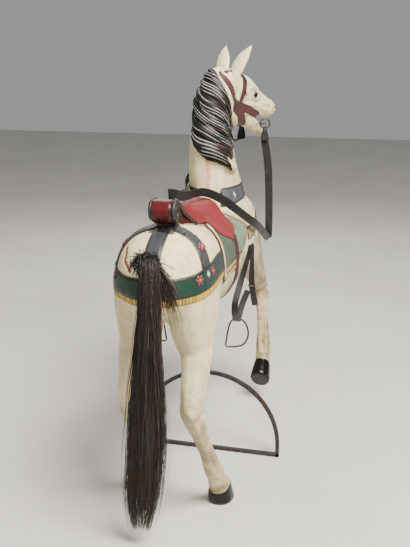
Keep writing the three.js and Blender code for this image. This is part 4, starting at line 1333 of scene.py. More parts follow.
    def _marks(self, rows: np.ndarray) -> np.ndarray:
        """The cracks, the bare streak and the black marks.

        Args:
            rows: The vertices.

        Returns:
            Millimetres of relief.
        """
        f = self.fields
        f["groove"] = (strap_depth(rows, np.array(self.groove, float), self.croup, 3.5)
                       + 0.5 * noise(rows, 5.0, 2.0))
        f["crack"] = (strap_depth(rows, np.array(self.crack, float), self.croup, 7.5)
                      + 2.0 * noise(rows, 3.0))
        f["streak"] = (strap_depth(rows, np.array(self.streak, float), self.throat, 12.0)
                       + 3.5 * noise(rows, 4.0, 4.0))
        spot = 3.5 - np.linalg.norm(rows - np.array(self.spot), axis=1)
        f["lines"] = np.maximum(f["lines"], spot)
        for mark, half in ((self.tuft, 6.0), (self.ear_line, 3.0)):
            black = half - curve_gap(rows, np.array(mark, float)) + noise(rows, 3.0, 6.0)
            f["lines"] = np.maximum(f["lines"], black)
        return -1.4 * ease(f["crack"], -2, 1) - 1.6 * ease(f["groove"], -2, 1)

    def _raised(self, share: np.ndarray) -> np.ndarray:
        """How far the carved zones stand out, sharper than the solid has them smoothed.

        Args:
            share: How strongly each vertex is smoothed.

        Returns:
            Millimetres of relief.
        """
        f = self.fields
        threads = 0.75 + 0.25 * np.cos(f["fringe_turn"])
        high = np.maximum.reduce(
            [lift * ease(f[name], -1.2, 1.6) for name, lift in self.lifts]
            + [self.fringe_lift * ease(f["fringe"], -1.2, 1.6) * threads])
        return high - self._rounded(high[:, None], share)[:, 0]

    def _soil_and_shade(self, rows: np.ndarray, local: np.ndarray) -> None:
        """Where hollows get painted shade, and where the brown is laid: dirt on the low legs,
        painted shade under the chin and in the hollows.

        Args:
            rows: The carved vertices.
            local: The coarse vertices in the head's frame.
        """
        f = self.fields
        even = np.full(len(rows), 0.5)
        settled = self._smoothed(rows, even, 7)
        # how deep each vertex lies in a hollow, for the painted shade there
        hollow = np.einsum("ij,ij->i", settled - rows, normals(self.obj.data))
        f["hollow"] = hollow * (1.0 - 0.65 * ease(local[:, 0], 10, 50))
        low_legs = ease(520 - rows[:, 2], 0, 380) * 0.72
        # painted shade under the chin
        chin = ease(local[:, 0], 150, 200) * ease(-60 - local[:, 2], 0, 20)
        # dirt on the low legs, painted shade under the chin and in the hollows, and a little
        # everywhere
        dirt_and_shade = low_legs + 0.7 * chin + 0.35 * ease(hollow, 0.1, 0.9) + 0.14
        f["dirt_and_shade"] = np.clip(dirt_and_shade, 0, 1)

    def build(self) -> bpy.types.Object:
        """Remeshes the solid finely, rounds it, cuts the relief and stores the painted zones.

        Returns:
            The figure.
        """
        self.obj = copied_node("horse", "horse_figure")
        mesh = self.obj.data
        mesh.remesh_voxel_size = self.voxel * MM
        mesh.use_remesh_preserve_volume = False
        only(self.obj)
        bpy.ops.object.voxel_remesh()
        mesh = self.obj.data
        rows = corners(mesh)
        coarse = HEAD.local(rows)
        share = self._softness(rows, coarse)
        rows = self._rounded(rows, share)
        local = HEAD.local(rows)
        self._zones(rows, local)
        raised = self._raised(share)
        move_corners(mesh, rows)
        relief = self._features(local) + self._marks(rows) + self._ridges(rows)
        rows = rows + normals(mesh) * (raised + relief)[:, None]
        rows[:, 2] = np.maximum(rows[:, 2], 0.0)
        move_corners(mesh, rows)
        self._soil_and_shade(rows, coarse)
        for name, values in self.fields.items():
            put_numbers(mesh, name, values)
        return finished(self.obj, PaintedWood().build())


# ---------------------------------------------------------------- the mane

@dataclass
class Mane:
    """The mane: deep cut locks that fall in waves from the crest down the right side."""

    axis: tuple[Point, ...] = (
        (160, 5, 610), (148, 8, 700), (124, 14, 775), (102, 18, 850), (94, 18, 920), (104, 13, 985),
        (130, 5, 1038), (168, -4, 1070), (202, -9, 1084))
    along: tuple[float, float] = (0.33, 0.90)  # where the patch starts and ends on the axis
    sweep: tuple[float, float] = (20.0, 190.0)  # and round the neck, in degrees
    rings: int = 320
    columns: int = 180
    stride: int = 4  # grid lines from one probe of the neck to the next
    probe: float = 0.16  # metres from the axis to where a probe starts
    missed: float = 60.0  # reach where a probe finds nothing
    lock: float = 33.0
    strand: float = 6.6
    round_neck: float = 66.0  # millimetres of the flat pattern for one radian round the neck
    long_neck: float = 600.0  # and for the whole axis
    black: int = 0x0C0B0B
    brown: int = 0x5A3A34
    white: int = 0xE2DCD2

    # corners of the mane's outline: angle round the neck in degrees, and place along the axis
    outline: tuple[tuple[float, float], ...] = (
        (46, 0.72), (40, 0.66), (42, 0.59), (58, 0.53), (66, 0.495), (74, 0.468), (84, 0.444),
        (96, 0.425), (110, 0.412), (124, 0.392), (136, 0.367), (149, 0.345), (147, 0.375),
        (142, 0.400), (135, 0.428), (150, 0.412), (166, 0.390), (172, 0.440), (174, 0.50),
        (176, 0.57), (166, 0.635), (146, 0.683), (122, 0.722), (102, 0.758), (90, 0.786),
        (80, 0.798), (70, 0.797), (60, 0.785), (51, 0.76))

    def _axis(self, s: np.ndarray) -> np.ndarray:
        """Points of the neck's axis, on a smooth curve through its stations.

        Args:
            s: Shares of the axis.

        Returns:
            One point for each share.
        """
        p = np.array(self.axis, float)
        t = s * (len(p) - 1)
        i = np.clip(t.astype(int), 0, len(p) - 2)
        u = (t - i)[:, None]
        a, b, c, d = (p[np.clip(i + k, 0, len(p) - 1)] for k in (-1, 0, 1, 2))
        return 0.5 * ((2 * b) + (c - a) * u + (2 * a - 5 * b + 4 * c - d) * u ** 2
                      + (3 * b - a - 3 * c + d) * u ** 3)

    def _ways(self, centre: np.ndarray, turn: np.ndarray) -> np.ndarray:
        """The way out of the neck at each place of the grid.

        Args:
            centre: Points of the axis.
            turn: Angles round the neck.

        Returns:
            Unit vectors, for each point and angle.
        """
        along = np.gradient(centre, axis=0)
        along /= np.linalg.norm(along, axis=1)[:, None]
        side = np.array([0.0, 1.0, 0.0]) - along * along[:, 1:2]
        side /= np.linalg.norm(side, axis=1)[:, None]
        out = np.cross(along, side)
        return (np.cos(turn)[None, :, None] * side[:, None, :]
                + np.sin(turn)[None, :, None] * out[:, None, :])

    def _reach(self, body: bpy.types.Object, centre: np.ndarray, ways: np.ndarray) -> np.ndarray:
        """Distance from the axis to the neck's surface at each place of the grid.

        Args:
            body: The carved figure.
            centre: Points of the axis.
            ways: The way out at each place.

        Returns:
            Millimetres, probed here and there and spread softly between.
        """
        tree = tree_of(body)
        rough = np.full((len(range(0, self.rings, self.stride)),
                         len(range(0, self.columns, self.stride))), self.missed)
        for i in range(rough.shape[0]):
            heart = Vector(centre[i * self.stride] * MM)
            for j in range(rough.shape[1]):
                way = Vector(ways[i * self.stride, j * self.stride])
                hit = tree.ray_cast(heart + way * self.probe, -way, self.probe)
                if hit[0] is not None:
                    rough[i, j] = (hit[0] - heart).length / MM
        for _ in range(6):
            wide = np.pad(rough, 1, mode="edge")
            rough = (wide[:-2, 1:-1] + wide[2:, 1:-1] + wide[1:-1, :-2] + wide[1:-1, 2:]
                     + 2 * rough) / 6.0
        i, j = np.arange(self.rings) / self.stride, np.arange(self.columns) / self.stride
        i0 = np.clip(i.astype(int), 0, rough.shape[0] - 2)
        j0 = np.clip(j.astype(int), 0, rough.shape[1] - 2)
        fi, fj = (i - i0)[:, None], (j - j0)[None, :]
        a, b = rough[i0][:, j0], rough[i0 + 1][:, j0]
        c, d = rough[i0][:, j0 + 1], rough[i0 + 1][:, j0 + 1]
        return (a * (1 - fi) + b * fi) * (1 - fj) + (c * (1 - fi) + d * fi) * fj

    def _carving(self, a: np.ndarray, b: np.ndarray,
                 depth: np.ndarray) -> tuple[np.ndarray, np.ndarray]:
        """The locks and strands.

        Args:
            a: Millimetres round the neck.
            b: Millimetres along it.
            depth: Millimetres inside the mane's outline.

        Returns:
            The height over the neck, and the paint.
        """
        steep = 1.0 + 0.5 * ease(b, 420, 520)
        wave = 0.86 * a + 9.0 * np.sin((a - 46.0) / 22.9)
        phase = b + steep * wave + 3.0 * np.sin(b / 21.0 + a / 40.0)
        which = np.floor(phase / self.lock)
        part = phase / self.lock - which
        locks = np.sin(math.pi * part ** 0.75) ** 0.8
        strand = phase / self.strand + 0.35 * np.sin(a / 11.0 + which * 1.7)
        ridge = 0.5 - 0.5 * np.cos(2 * math.pi * strand)
        edge = ease(depth, -1.0, 6.0)
        crest = 8.5 * ease(b, 355, 400) * (1.0 - ease(a, 60, 110))
        height = -4.0 + edge * (6.0 + 6.5 * locks + 2.0 * ridge ** 1.4 + crest)

        luck = np.sin(np.floor(strand) * 12.9898 + which * 4.1) * 43758.5453
        luck = luck - np.floor(luck)  # a fixed number from 0 to 1 for each strand
        lit = (np.sin(a / 27.0 + luck * 6.3) * 0.4 + np.sin(a / 8.7 + luck * 17.0) * 0.25
               + luck * 0.7 - 0.42 + 0.3 * locks)
        paint = np.broadcast_to(np.array(shade_of(self.black)), (*depth.shape, 3))
        paint = tinted(paint, self.brown, ease(ridge, 0.5, 0.9) * (luck > 0.72) * 0.5)
        painted_line = ease(ridge, 0.93, 1.0) * ease(lit, 0.0, 0.5) * ease(depth, 1.0, 5.0)
        return height, tinted(paint, self.white, painted_line)

    def build(self, body: bpy.types.Object) -> bpy.types.Object:
        """Lays the carved mane over the neck.

        Args:
            body: The carved figure that it lies on.

        Returns:
            The mane as its own mesh.
        """
        s = np.linspace(*self.along, self.rings)
        turn = np.radians(np.linspace(*self.sweep, self.columns))
        centre = self._axis(s)
        ways = self._ways(centre, turn)
        reach = self._reach(body, centre, ways)
        a, b = turn[None, :] * self.round_neck, s[:, None] * self.long_neck
        flat = np.stack([np.broadcast_to(v, reach.shape).ravel() for v in (a, b)], axis=1)
        shape = np.array([(math.radians(angle) * self.round_neck, place * self.long_neck)
                          for angle, place in self.outline])
        depth = polygon_depth(flat, shape).reshape(reach.shape)
        height, paint = self._carving(a, b, depth)
        rows = centre[:, None, :] + ways * (reach + height)[:, :, None]
        quads = grid_faces(self.rings, self.columns, closed=False)
        hidden_rim = -5.0
        keep = (depth.ravel()[quads] > hidden_rim).any(axis=1)
        obj = mesh_object("mane_relief", rows.reshape(-1, 3), quads[keep])
        put_colours(obj.data, paint.reshape(-1, 3))
        with editing(obj):
            bpy.ops.mesh.delete_loose()
            bpy.ops.mesh.select_all(action="SELECT")
            bpy.ops.mesh.normals_make_consistent(inside=False)
        return finished(obj, StoredPaint("mane_paint", 0.5).build())


# ---------------------------------------------------------------- carved trim

@dataclass
class Trim:
    """Rosettes, diamonds, eyes, piping and the volutes of the cantle roll."""

    # the cantle's roll: its middle, its radius and half its length
    roll: Point = (-415.0, -2.0, 800.0)
    roll_radius: float = 27.0
    roll_half: float = 25.0
    piping_radius: float = 5.2
    # the piping's way from the saddle up to the roll, along the horse and up
    run: tuple[tuple[float, float], ...] = (
        (-300, 750), (-316, 764), (-338, 782), (-362, 802), (-384, 817), (-400, 824))
    # centre and radius of each rosette on the left side; each has a twin on the right
    rosettes: tuple[tuple[Point, float], ...] = (
        ((-420, 91, 722), 12.5), ((-468, 100, 657), 12.5), ((-417, 116, 668), 10.0),
        ((158, 64, 762), 13.0), ((150, 100, 667), 12.0))
    diamonds: tuple[tuple[Point, float], ...] = (((-436, 112, 664), 13.0), ((62, 58, 765), 14.0))
    petals: int = 6
    red: int = 0x66202A
    # colour of the painted highlight on the petals' crests
    petal_highlight: int = 0xA86868
    heart: int = 0xB87068
    gap: int = 0x2A1513
    grey: int = 0x6F7472
    pale: int = 0xC9C8BE
    eye_radius: float = 11.5
    eye_shape: Point = (0.75, 0.42, 0.68)
    eye_sunk: float = 1.5

    def _seat(self, tree: BVHTree, at: Point) -> Matrix:
        """Where a boss stands on the carving, with its Z out of the surface.

        Args:
            tree: Search tree of the figure.
            at: A point near the surface.

        Returns:
            The boss's place and turn.
        """
        place, normal, _, _ = tree.find_nearest(Vector(at) * MM)
        turn = normal.to_track_quat("Z", "Y").to_matrix().to_4x4()
        return Matrix.Translation(place) @ turn

    def _rosette(self, radius: float) -> bpy.types.Object:
        """A round boss cut as petals about an eye, with a painted highlight on the petals' crests.

        Args:
            radius: Its radius.

        Returns:
            The boss, at the origin.
        """
        obj = added(bpy.ops.mesh.primitive_uv_sphere_add, segments=42, ring_count=20,
                    radius=radius * MM)
        rows = corners(obj.data)
        reach = np.hypot(rows[:, 0], rows[:, 1]) / radius
        turn = np.arctan2(rows[:, 1], rows[:, 0])
        petal = np.abs(np.cos(turn * self.petals / 2.0)) ** 0.7
        heart = ease(0.34 - reach, 0, 0.06)
        leaf = np.sqrt(np.clip(1 - reach ** 2, 0, 1)) * (0.35 + 0.65 * petal)
        dome = 3.6 * leaf * ease(reach, 0.28, 0.5) + 3.8 * heart
        rows[:, :2] *= (0.86 + 0.14 * petal)[:, None]
        rows[:, 2] = np.where(rows[:, 2] >= -1e-6, dome, -1.5)
        move_corners(obj.data, rows)
        gap = ease(1 - petal, 0.45, 0.9) + ease(reach, 0.93, 1.0)
        paint = np.tile(shade_of(self.red), (len(rows), 1))
        # painted highlight: the petals' crests are painted lighter at mid radius
        worn = 0.45 * ease(petal, 0.7, 1.0) * ease(reach, 0.4, 0.6)
        paint = tinted(paint, self.petal_highlight, worn)
        paint = tinted(paint, self.heart, heart)
        paint = tinted(paint, self.gap, np.clip(gap, 0, 1) * (1 - heart))
        put_colours(obj.data, paint)
        return obj

    def _diamond(self, radius: float) -> bpy.types.Object:
        """A pointed lozenge with a raised middle.

        Args:
            radius: Half its length.

        Returns:
            The boss, at the origin.
        """
        obj = added(bpy.ops.mesh.primitive_cone_add, vertices=4, radius1=radius * MM,
                    radius2=0.35 * radius * MM, depth=0.003)
        modified(obj, "BEVEL", width=0.0008, segments=2)
        rows = corners(obj.data)
        rows[:, 0] *= 0.72
        move_corners(obj.data, rows)
        inner = ease(rows[:, 2], -1.2, 0.6)
        grey = np.tile(shade_of(self.grey), (len(rows), 1))
        put_colours(obj.data, tinted(grey, self.pale, inner))
        return obj

    def bosses(self, body: bpy.types.Object) -> bpy.types.Object:
        """All rosettes and diamonds on both sides, as one carved piece.

        Args:
            body: The figure that they sit on.

        Returns:
            The bosses.
        """
        tree = tree_of(body)
        made = []
        for side in (LEFT, RIGHT):
            for items, maker in ((self.rosettes, self._rosette), (self.diamonds, self._diamond)):
                for (x, y, z), radius in items:
                    boss = maker(radius)
                    boss.matrix_world = self._seat(tree, (x, y * side, z))
                    made.append(settle(boss))
        return finished(joined(made, "harness_bosses"), StoredPaint("boss_paint", 0.42).build())

    def eyes(self) -> bpy.types.Object:
        """Both painted eyes, set in their lids.

        Returns:
            The eyes.
        """
        made = []
        x, y, z = HEAD.eye
        turn = Matrix([list(row) for row in HEAD.matrix()]).to_4x4()
        for side in (LEFT, RIGHT):
            eye = added(bpy.ops.mesh.primitive_uv_sphere_add, segments=32, ring_count=20,
                        radius=self.eye_radius * MM)
            place = HEAD.out(np.array([[x, (y - self.eye_sunk) * side, z]]))[0]
            flat = Matrix.Diagonal((*self.eye_shape, 1.0))
            eye.matrix_world = Matrix.Translation(Vector(place * MM)) @ turn @ flat
            made.append(settle(eye))
        return finished(joined(made, "eyes"), PlainPaint("eye_black", 0x070606, 0.12).build())

    def _volute(self, end: float) -> np.ndarray:
        """The spiral on one end of the roll.

        Args:
            end: Which place across the horse it lies at.

        Returns:
            Points of the spiral.
        """
        x, _, z = self.roll
        steps, first, turns, inner = 64, math.radians(75), 1.75, 3.0
        t = np.linspace(0.0, 1.0, steps)
        turn = first + 2 * math.pi * turns * t
        reach = (self.roll_radius - 3.0) * (1 - t) + inner * t
        return np.stack([x + reach * np.cos(turn), np.full(steps, end), z + reach * np.sin(turn)],
                        axis=1)

    def piping(self, body: bpy.types.Object) -> bpy.types.Object:
        """The raised spiral on each end of the roll, and the edging that runs on from it.

        Args:
            body: The figure that it lies on.

        Returns:
            The piping.
        """
        tree = tree_of(body)
        run = np.array(self.run, float)
        places = np.linspace(0, len(run) - 1, 26)
        smooth = np.stack([np.interp(places, range(len(run)), run[:, k]) for k in (0, 1)], axis=1)
        routes = []
        for side in (LEFT, RIGHT):
            end = self.roll[1] + side * (self.roll_half + 2.5)
            wall = []
            for x, z in smooth:
                hit = tree.ray_cast(Vector((x, side * 200.0, z)) * MM, Vector((0.0, -side, 0.0)),
                                    0.19)
                wall.append(hit[0].y / MM if hit[0] is not None else end)
            wall = np.convolve(np.pad(wall, 2, mode="edge"), np.full(5, 0.2), mode="valid")
            edging = np.stack([smooth[:, 0], wall + side * 1.0, smooth[:, 1]], axis=1)
            routes.append(np.vstack([edging, self._volute(end)]))
        obj = rope("saddle_piping", routes, self.piping_radius)
        return finished(obj, PlainPaint("charcoal_paint", 0x282622, 0.5).build())


# ---------------------------------------------------------------- the horsehair tail

@dataclass
class Tail:
    """A hank of horsehair: a dark core, long strands over it, and loose ends at the root."""

    # centre line, half width across and half depth of the hank
    stations: tuple[tuple[Point, float, float], ...] = (
        ((-538, -9, 716), 22, 16), ((-556, -13, 700), 27, 18), ((-566, -16, 675), 27, 19),
        ((-576, -16, 632), 28, 20), ((-576, -16, 597), 27, 20), ((-572, -9, 519), 31, 21),
        ((-566, -5, 421), 38, 24), ((-558, 1, 319), 43, 25), ((-550, 10, 213), 43, 23),
        ((-542, 24, 110), 38, 18), ((-536, 29, 48), 24, 12))
    strands: int = 1320
    steps: int = 16
    tuft_hairs: int = 1150
    tuft_steps: int = 6
    lock_hairs: int = 240
    lock_steps: int = 10
    stray: float = 0.09  # share of the strands that stand away
    lowest: float = 36.0
    seed: int = 7
    black: int = 0x0F0A08
    brown: int = 0x3A2A22
    pale: int = 0x6E5848

    def _along(self, t: np.ndarray) -> tuple[np.ndarray, np.ndarray, np.ndarray]:
        """Centre, half width and half depth at shares of the length.

        Args:
            t: Shares of the length.

        Returns:
            The three, for each share.
        """
        at = np.array([s[0] for s in self.stations], float)
        knots = np.linspace(0, 1, len(at))
        centre = np.stack([np.interp(t, knots, at[:, k]) for k in range(3)], axis=-1)
        wide = np.interp(t, knots, [s[1] for s in self.stations])
        deep = np.interp(t, knots, [s[2] for s in self.stations])
        return centre, wide, deep

    @staticmethod
    def _tubes(paths: np.ndarray, radius: np.ndarray, tone: np.ndarray) -> Hair:
        """Three-sided tubes that taper to a point.

        Args:
            paths: Points of each hair.
            radius: Radius of each hair.
            tone: Colour of each hair.

        Returns:
            Rows, faces and the colour of each row.
        """
        count, steps, _ = paths.shape
        along = np.gradient(paths, axis=1)
        along /= np.linalg.norm(along, axis=2, keepdims=True) + 1e-9
        side = np.cross(along, np.array([1.3, 0.1, 0.2]))
        side /= np.linalg.norm(side, axis=2, keepdims=True) + 1e-9
        other = np.cross(along, side)
        thin = np.interp(np.linspace(0, 1, steps), [0, 0.7, 1], [1, 0.85, 0.2])
        taper = thin[None, :, None] * radius[:, None, None]
        thirds = (0.0, 2.094, 4.189)
        rings = [paths + taper * (math.cos(w) * side + math.sin(w) * other) for w in thirds]
        rows = np.stack(rings, axis=2).reshape(-1, 3)
        base = (np.arange(count)[:, None] * steps + np.arange(steps - 1)[None, :]).ravel() * 3
        quads = [np.stack((base + i, base + (i + 1) % 3, base + 3 + (i + 1) % 3, base + 3 + i),
                          axis=1) for i in range(3)]
        return rows, np.concatenate(quads), np.repeat(tone, steps * 3, axis=0)

    def _tones(self, rng: np.random.Generator, count: int) -> np.ndarray:
        """A colour for each strand, from near black to brown.

        Args:
            rng: Source of random numbers.
            count: Number of strands.

        Returns:
            One colour for each strand.
        """
        brown, black, pale = (np.array(shade_of(c)) for c in (self.brown, self.black, self.pale))
        mixed = rng.uniform(0, 1, (count, 1)) ** 1.6
        tone = black + (brown - black) * mixed
        light = (rng.uniform(0, 1, count) > 0.93)[:, None]
        return np.where(light, pale, tone)

    def _hank(self, rng: np.random.Generator) -> Hair:
        """The long strands, a few of which stand away.

        Args:
            rng: Source of random numbers.

        Returns:
            The strands.
        """
        n = self.strands
        t = np.linspace(0.0, 1.0, self.steps)
        start = rng.uniform(0.0, 0.14, n)
        end = np.clip(rng.normal(0.93, 0.09, n), 0.4, 1.02)
        share = start[:, None] + (end - start)[:, None] * t[None, :]
        centre, wide, deep = self._along(np.clip(share, 0, 1))
        turn = rng.uniform(0, 2 * math.pi, n)
        out = np.sqrt(rng.uniform(0.35, 1.0, n))
        clump = 0.16 * np.sin(3 * turn)[:, None] * np.sin(5 * share + turn[:, None])
        lean = 0.35 * np.sin(4.0 * share + rng.uniform(0, 6, n)[:, None])
        swing = turn[:, None] + lean + clump
        spread = out[:, None] * (0.92 + 0.25 * rng.normal(0, 0.35, n)[:, None] * share)
        stray = (rng.uniform(0, 1, n) < self.stray)[:, None]
        away = 0.65 * share * rng.uniform(0.2, 1.0, n)[:, None]
        spread = spread + np.where(stray, away, 0.0)
        x = np.sin(swing) * deep * spread
        y = np.cos(swing) * wide * spread
        z = 6.0 * rng.normal(0, 1, n)[:, None] * np.ones_like(x)
        paths = centre + np.stack([x, y, z], axis=-1)
        paths[:, :, 1] += 1.2 * np.sin(share * 40 + rng.uniform(0, 6, n)[:, None])
        paths[:, :, 2] = np.maximum(paths[:, :, 2], self.lowest)
        radius = rng.uniform(0.45, 0.85, n)
        return self._tubes(paths, radius, self._tones(rng, n))

    def _tuft(self, rng: np.random.Generator) -> Hair:
        """The bound root: short ends that stand out all round, most of them to the left.

        Args:
            rng: Source of random numbers.

        Returns:
            The short ends.
        """
        n = self.tuft_hairs
        t = np.linspace(0, 1, self.tuft_steps)[None, :, None]
        aim = rng.normal(0, 1, (n, 3)) * np.array([0.45, 1.0, 0.9]) + np.array([-0.55, 0.12, 0.05])
        aim /= np.linalg.norm(aim, axis=1, keepdims=True)
        root = np.array([-540.0, 0.0, 712.0]) + rng.normal(0, 1, (n, 3)) * np.array([4, 10, 8])
        length = rng.uniform(16, 27, n)[:, None, None]
        sag = np.array([0, 0, -1.0])[None, None, :] * (t ** 2) * length * 0.5
        paths = root[:, None, :] + aim[:, None, :] * t * length + sag
        radius = rng.uniform(0.7, 1.2, n)
        return self._tubes(paths, radius, self._tones(rng, n) * 0.4)

    def _lock(self, rng: np.random.Generator) -> Hair:
        """A loose lock that falls away to the right below the root.

        Args:
            rng: Source of random numbers.

        Returns:
            The lock.
        """
        n = self.lock_hairs
        t = np.linspace(0, 1, self.lock_steps)[None, :, None]
        root = np.array([-548.0, -22.0, 704.0]) + rng.normal(0, 1, (n, 3)) * np.array([3, 6, 6])
        tip = np.array([-560.0, -66.0, 622.0]) + rng.normal(0, 1, (n, 3)) * np.array([5, 13, 22])
        middle = (root + tip) / 2 + np.array([-8.0, -8.0, 14.0])
        paths = (((1 - t) ** 2) * root[:, None, :] + 2 * t * (1 - t) * middle[:, None, :]
                 + t ** 2 * tip[:, None, :])
        radius = rng.uniform(0.4, 0.7, n)
        return self._tubes(paths, radius, self._tones(rng, n) * 1.25)

    def _core(self) -> Hair:
        """The dark inside of the hank.

        Returns:
            The core.
        """
        rings, sides = 60, 20
        centre, wide, deep = self._along(np.linspace(0.0, 0.93, rings))
        turn = np.linspace(0, 2 * math.pi, sides, endpoint=False)
        pinch = (0.8 * (1 - 0.75 * ease(np.linspace(0, 1, rings), 0.8, 1.0)))[:, None]
        rows = np.stack([centre[:, None, 0] + np.sin(turn)[None] * deep[:, None] * pinch,
                         centre[:, None, 1] + np.cos(turn)[None] * wide[:, None] * pinch,
                         centre[:, None, 2] + 0 * turn[None]], axis=-1).reshape(-1, 3)
        return rows, grid_faces(rings, sides, closed=True), np.full((len(rows), 3), 0.004)

    def build(self) -> bpy.types.Object:
        """Grows the tail and joins its hair to one mesh.

        Returns:
            The tail.
        """
        rng = np.random.default_rng(self.seed)
        sets = [self._hank(rng), self._tuft(rng), self._lock(rng), self._core()]
        offset = np.cumsum([0] + [len(s[0]) for s in sets[:-1]])
        rows = np.vstack([s[0] for s in sets])
        quads = np.vstack([s[1] + o for s, o in zip(sets, offset)])
        obj = mesh_object("horsehair_tail", rows, quads)
        put_colours(obj.data, np.vstack([s[2] for s in sets]))
        return finished(obj, HorseHair().build())


# ---------------------------------------------------------------- stand, straps and irons

@dataclass
class Stand:
    """A square bar bent to an arch on a straight foot, with a round rod up to the belly."""

    bar: float = 11.0
    half: float = 213.0
    centre: float = 37.0
    rod: float = 6.0
    top: float = 500.0

    def build(self) -> bpy.types.Object:
        """Bends, extrudes and joins the bars.

        Returns:
            The stand.
        """
        middle = self.half - self.bar / 2
        arch = settle(added(bpy.ops.mesh.primitive_plane_add, size=self.bar * MM,
                            location=(0.0, middle * MM, self.centre * MM)))
        with editing(arch):
            bpy.ops.mesh.spin(steps=56, angle=-math.pi, center=(0.0, 0.0, self.centre * MM),
                              axis=(1.0, 0.0, 0.0))
        parts = [arch]
        for side in (LEFT, RIGHT):
            parts.append(self._box((0.0, side * middle, self.centre / 2),
                                   (self.bar, self.bar, self.centre)))
        parts.append(self._box((0.0, 0.0, self.bar / 2), (self.bar, 2 * self.half, self.bar)))
        foot = self.centre + self.half - self.bar / 2
        parts.append(added(bpy.ops.mesh.primitive_cylinder_add, vertices=40, radius=self.rod * MM,
                           depth=(self.top - foot) * MM,
                           location=(0.0, 0.0, (self.top + foot) / 2 * MM)))
        obj = settle(joined(parts, "arch_stand"))
        modified(obj, "BEVEL", width=0.0012, segments=2, limit_method="ANGLE")
        finished(obj, OldMetal("stand_iron", 0x2E2825, 0x43301F, 0.35, 0.5).build())
        bpy.ops.object.shade_smooth_by_angle(angle=math.radians(35))
        return obj

    @staticmethod
    def _box(at: Point, size: Point) -> bpy.types.Object:
        """A bar at a place, with a size along each axis."""
        return added(bpy.ops.mesh.primitive_cube_add, size=1.0, location=[v * MM for v in at],
                     scale=[v * MM for v in size])


class Rounding(Enum):
    """How a copied sweep is smoothed: a flat strap keeps its edges, a wire is round."""

    STRAP = "strap"
    WIRE = "wire"


@dataclass
class Fitting:
    """A strap or a wire piece that follows a node of the model."""

    node: str
    slot: str
    rounding: Rounding
    fatten: float = 0.0  # millimetres that smoothing would take off a thin wire

    def build(self, finish: bpy.types.Material) -> bpy.types.Object:
        """Copies the node and smooths it.

        Args:
            finish: The material that it gets.

        Returns:
            The new piece.
        """
        obj = copied_node(self.node, f"{self.node}_piece")
        with editing(obj):
            bpy.ops.mesh.tris_convert_to_quads(face_threshold=math.radians(60),
                                               shape_threshold=math.radians(80))
            if self.fatten:
                bpy.ops.transform.shrink_fatten(value=self.fatten * MM)
        if self.rounding is Rounding.STRAP:
            modified(obj, "BEVEL", width=0.0006, segments=1, limit_method="ANGLE",
                     angle_limit=math.radians(50))
        modified(obj, "SUBSURF", levels=2, render_levels=2)
        return finished(obj, finish)


# ---------------------------------------------------------------- the studio

@dataclass(frozen=True)
class SoftLight:
    """A soft square light that faces the horse."""

    name: str
    at: Point
    size: float
    power: float
    colour: Colour

    def hang(self) -> None:
        """Hangs the light."""
        data = bpy.data.lights.new(self.name, "AREA")
        data.size, data.energy, data.color = self.size, self.power, self.colour
        light = bpy.data.objects.new(self.name, data)
        light.location = self.at
        way = Vector((0, 0, 0.6)) - Vector(self.at)
        light.rotation_euler = way.to_track_quat("-Z", "Y").to_euler()
        bpy.context.collection.objects.link(light)


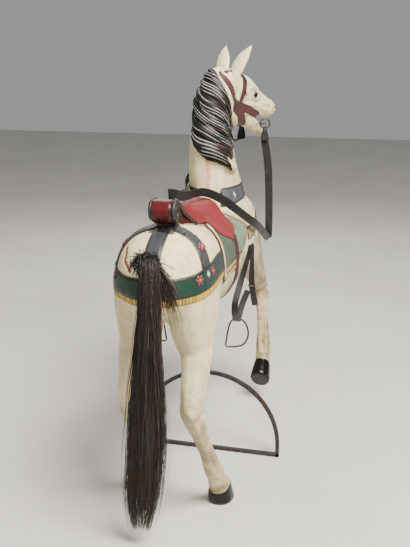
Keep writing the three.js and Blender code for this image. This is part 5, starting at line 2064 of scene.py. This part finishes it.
@dataclass
class Studio:
    """Floor, lights and camera."""

    place: Point = (-2.185, -0.573, 1.150)
    azimuth: float = 15.0
    pitch: float = 15.0
    lens: float = 54.1
    lights: tuple[SoftLight, ...] = (
        SoftLight("key", (-1.5, -1.5, 3.3), 1.5, 400.0, (1.0, 0.98, 0.95)),
        SoftLight("fill", (-2.6, 2.4, 1.8), 2.8, 28.0, (0.97, 0.985, 1.0)),
        SoftLight("front", (2.4, 0.8, 2.6), 2.4, 60.0, (1.0, 0.985, 0.96)))
    sky: Colour = (0.78, 0.79, 0.8)
    sky_strength: float = 0.42

    def build(self) -> None:
        """Lays the floor, hangs the lights and sets the camera."""
        floor = settle(added(bpy.ops.mesh.primitive_plane_add, size=16.0,
                             location=(1.5, 0.0, -0.0005)))
        floor.name = "floor"
        floor.data.materials.append(PaleFloor().build())
        for light in self.lights:
            light.hang()
        world = bpy.data.worlds.new("studio")
        world.use_nodes = True
        background = world.node_tree.nodes["Background"]
        background.inputs["Color"].default_value = (*self.sky, 1.0)
        background.inputs["Strength"].default_value = self.sky_strength
        bpy.context.scene.world = world
        camera = bpy.data.objects.new("camera", bpy.data.cameras.new("camera"))
        camera.data.lens = self.lens
        camera.data.sensor_width = 36.0
        camera.location = self.place
        camera.rotation_euler = (math.radians(90 - self.pitch), 0.0,
                                 math.radians(self.azimuth - 90))
        bpy.context.collection.objects.link(camera)
        bpy.context.scene.camera = camera


# ---------------------------------------------------------------- the whole

def dress(piece: bpy.types.Object, slot: str, *nodes: str) -> None:
    """Says what a piece rides on, hides the nodes that it stands for and logs its size.

    Args:
        piece: The piece.
        slot: Not used.
        nodes: Nodes of the model that it stands for.
    """
    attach(piece, "root")
    if nodes:
        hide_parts(*nodes)
    LOG.info("%s: %d vertices, %d faces", piece.name, len(piece.data.vertices),
             len(piece.data.polygons))


def main() -> None:
    """Builds the studio and every piece in order."""
    logging.basicConfig(level=logging.INFO, format="%(name)s %(message)s")
    Studio().build()
    body = Figure().build()
    dress(body, "painted_wood", "horse")
    dress(Mane().build(body), "painted_wood")
    trim = Trim()
    dress(trim.bosses(body), "painted_wood")
    dress(trim.eyes(), "painted_wood")
    dress(trim.piping(body), "painted_wood")
    dress(Tail().build(), "horsehair", "tail")
    dress(Stand().build(), "stand_iron", "stand")
    leather = StrapLeather().build()
    steel = OldMetal("dark_steel", 0x55493C, 0x4A3526, 0.8, 0.42).build()
    fittings = [Fitting("rein", "black_leather", Rounding.STRAP)]
    for hand in ("left", "right"):
        fittings.append(Fitting(f"stirrup_leather_{hand}", "black_leather", Rounding.STRAP))
        for node, fatten in (("stirrup", 0.45), ("bit_ring", 0.45), ("stirrup_buckle", 0.3),
                             ("bit_pin", 0.2)):
            fittings.append(Fitting(f"{node}_{hand}", "dark_steel", Rounding.WIRE, fatten))
    for fitting in fittings:
        finish = leather if fitting.slot == "black_leather" else steel
        dress(fitting.build(finish), fitting.slot, fitting.node)


if __name__ == "__main__":
    main()
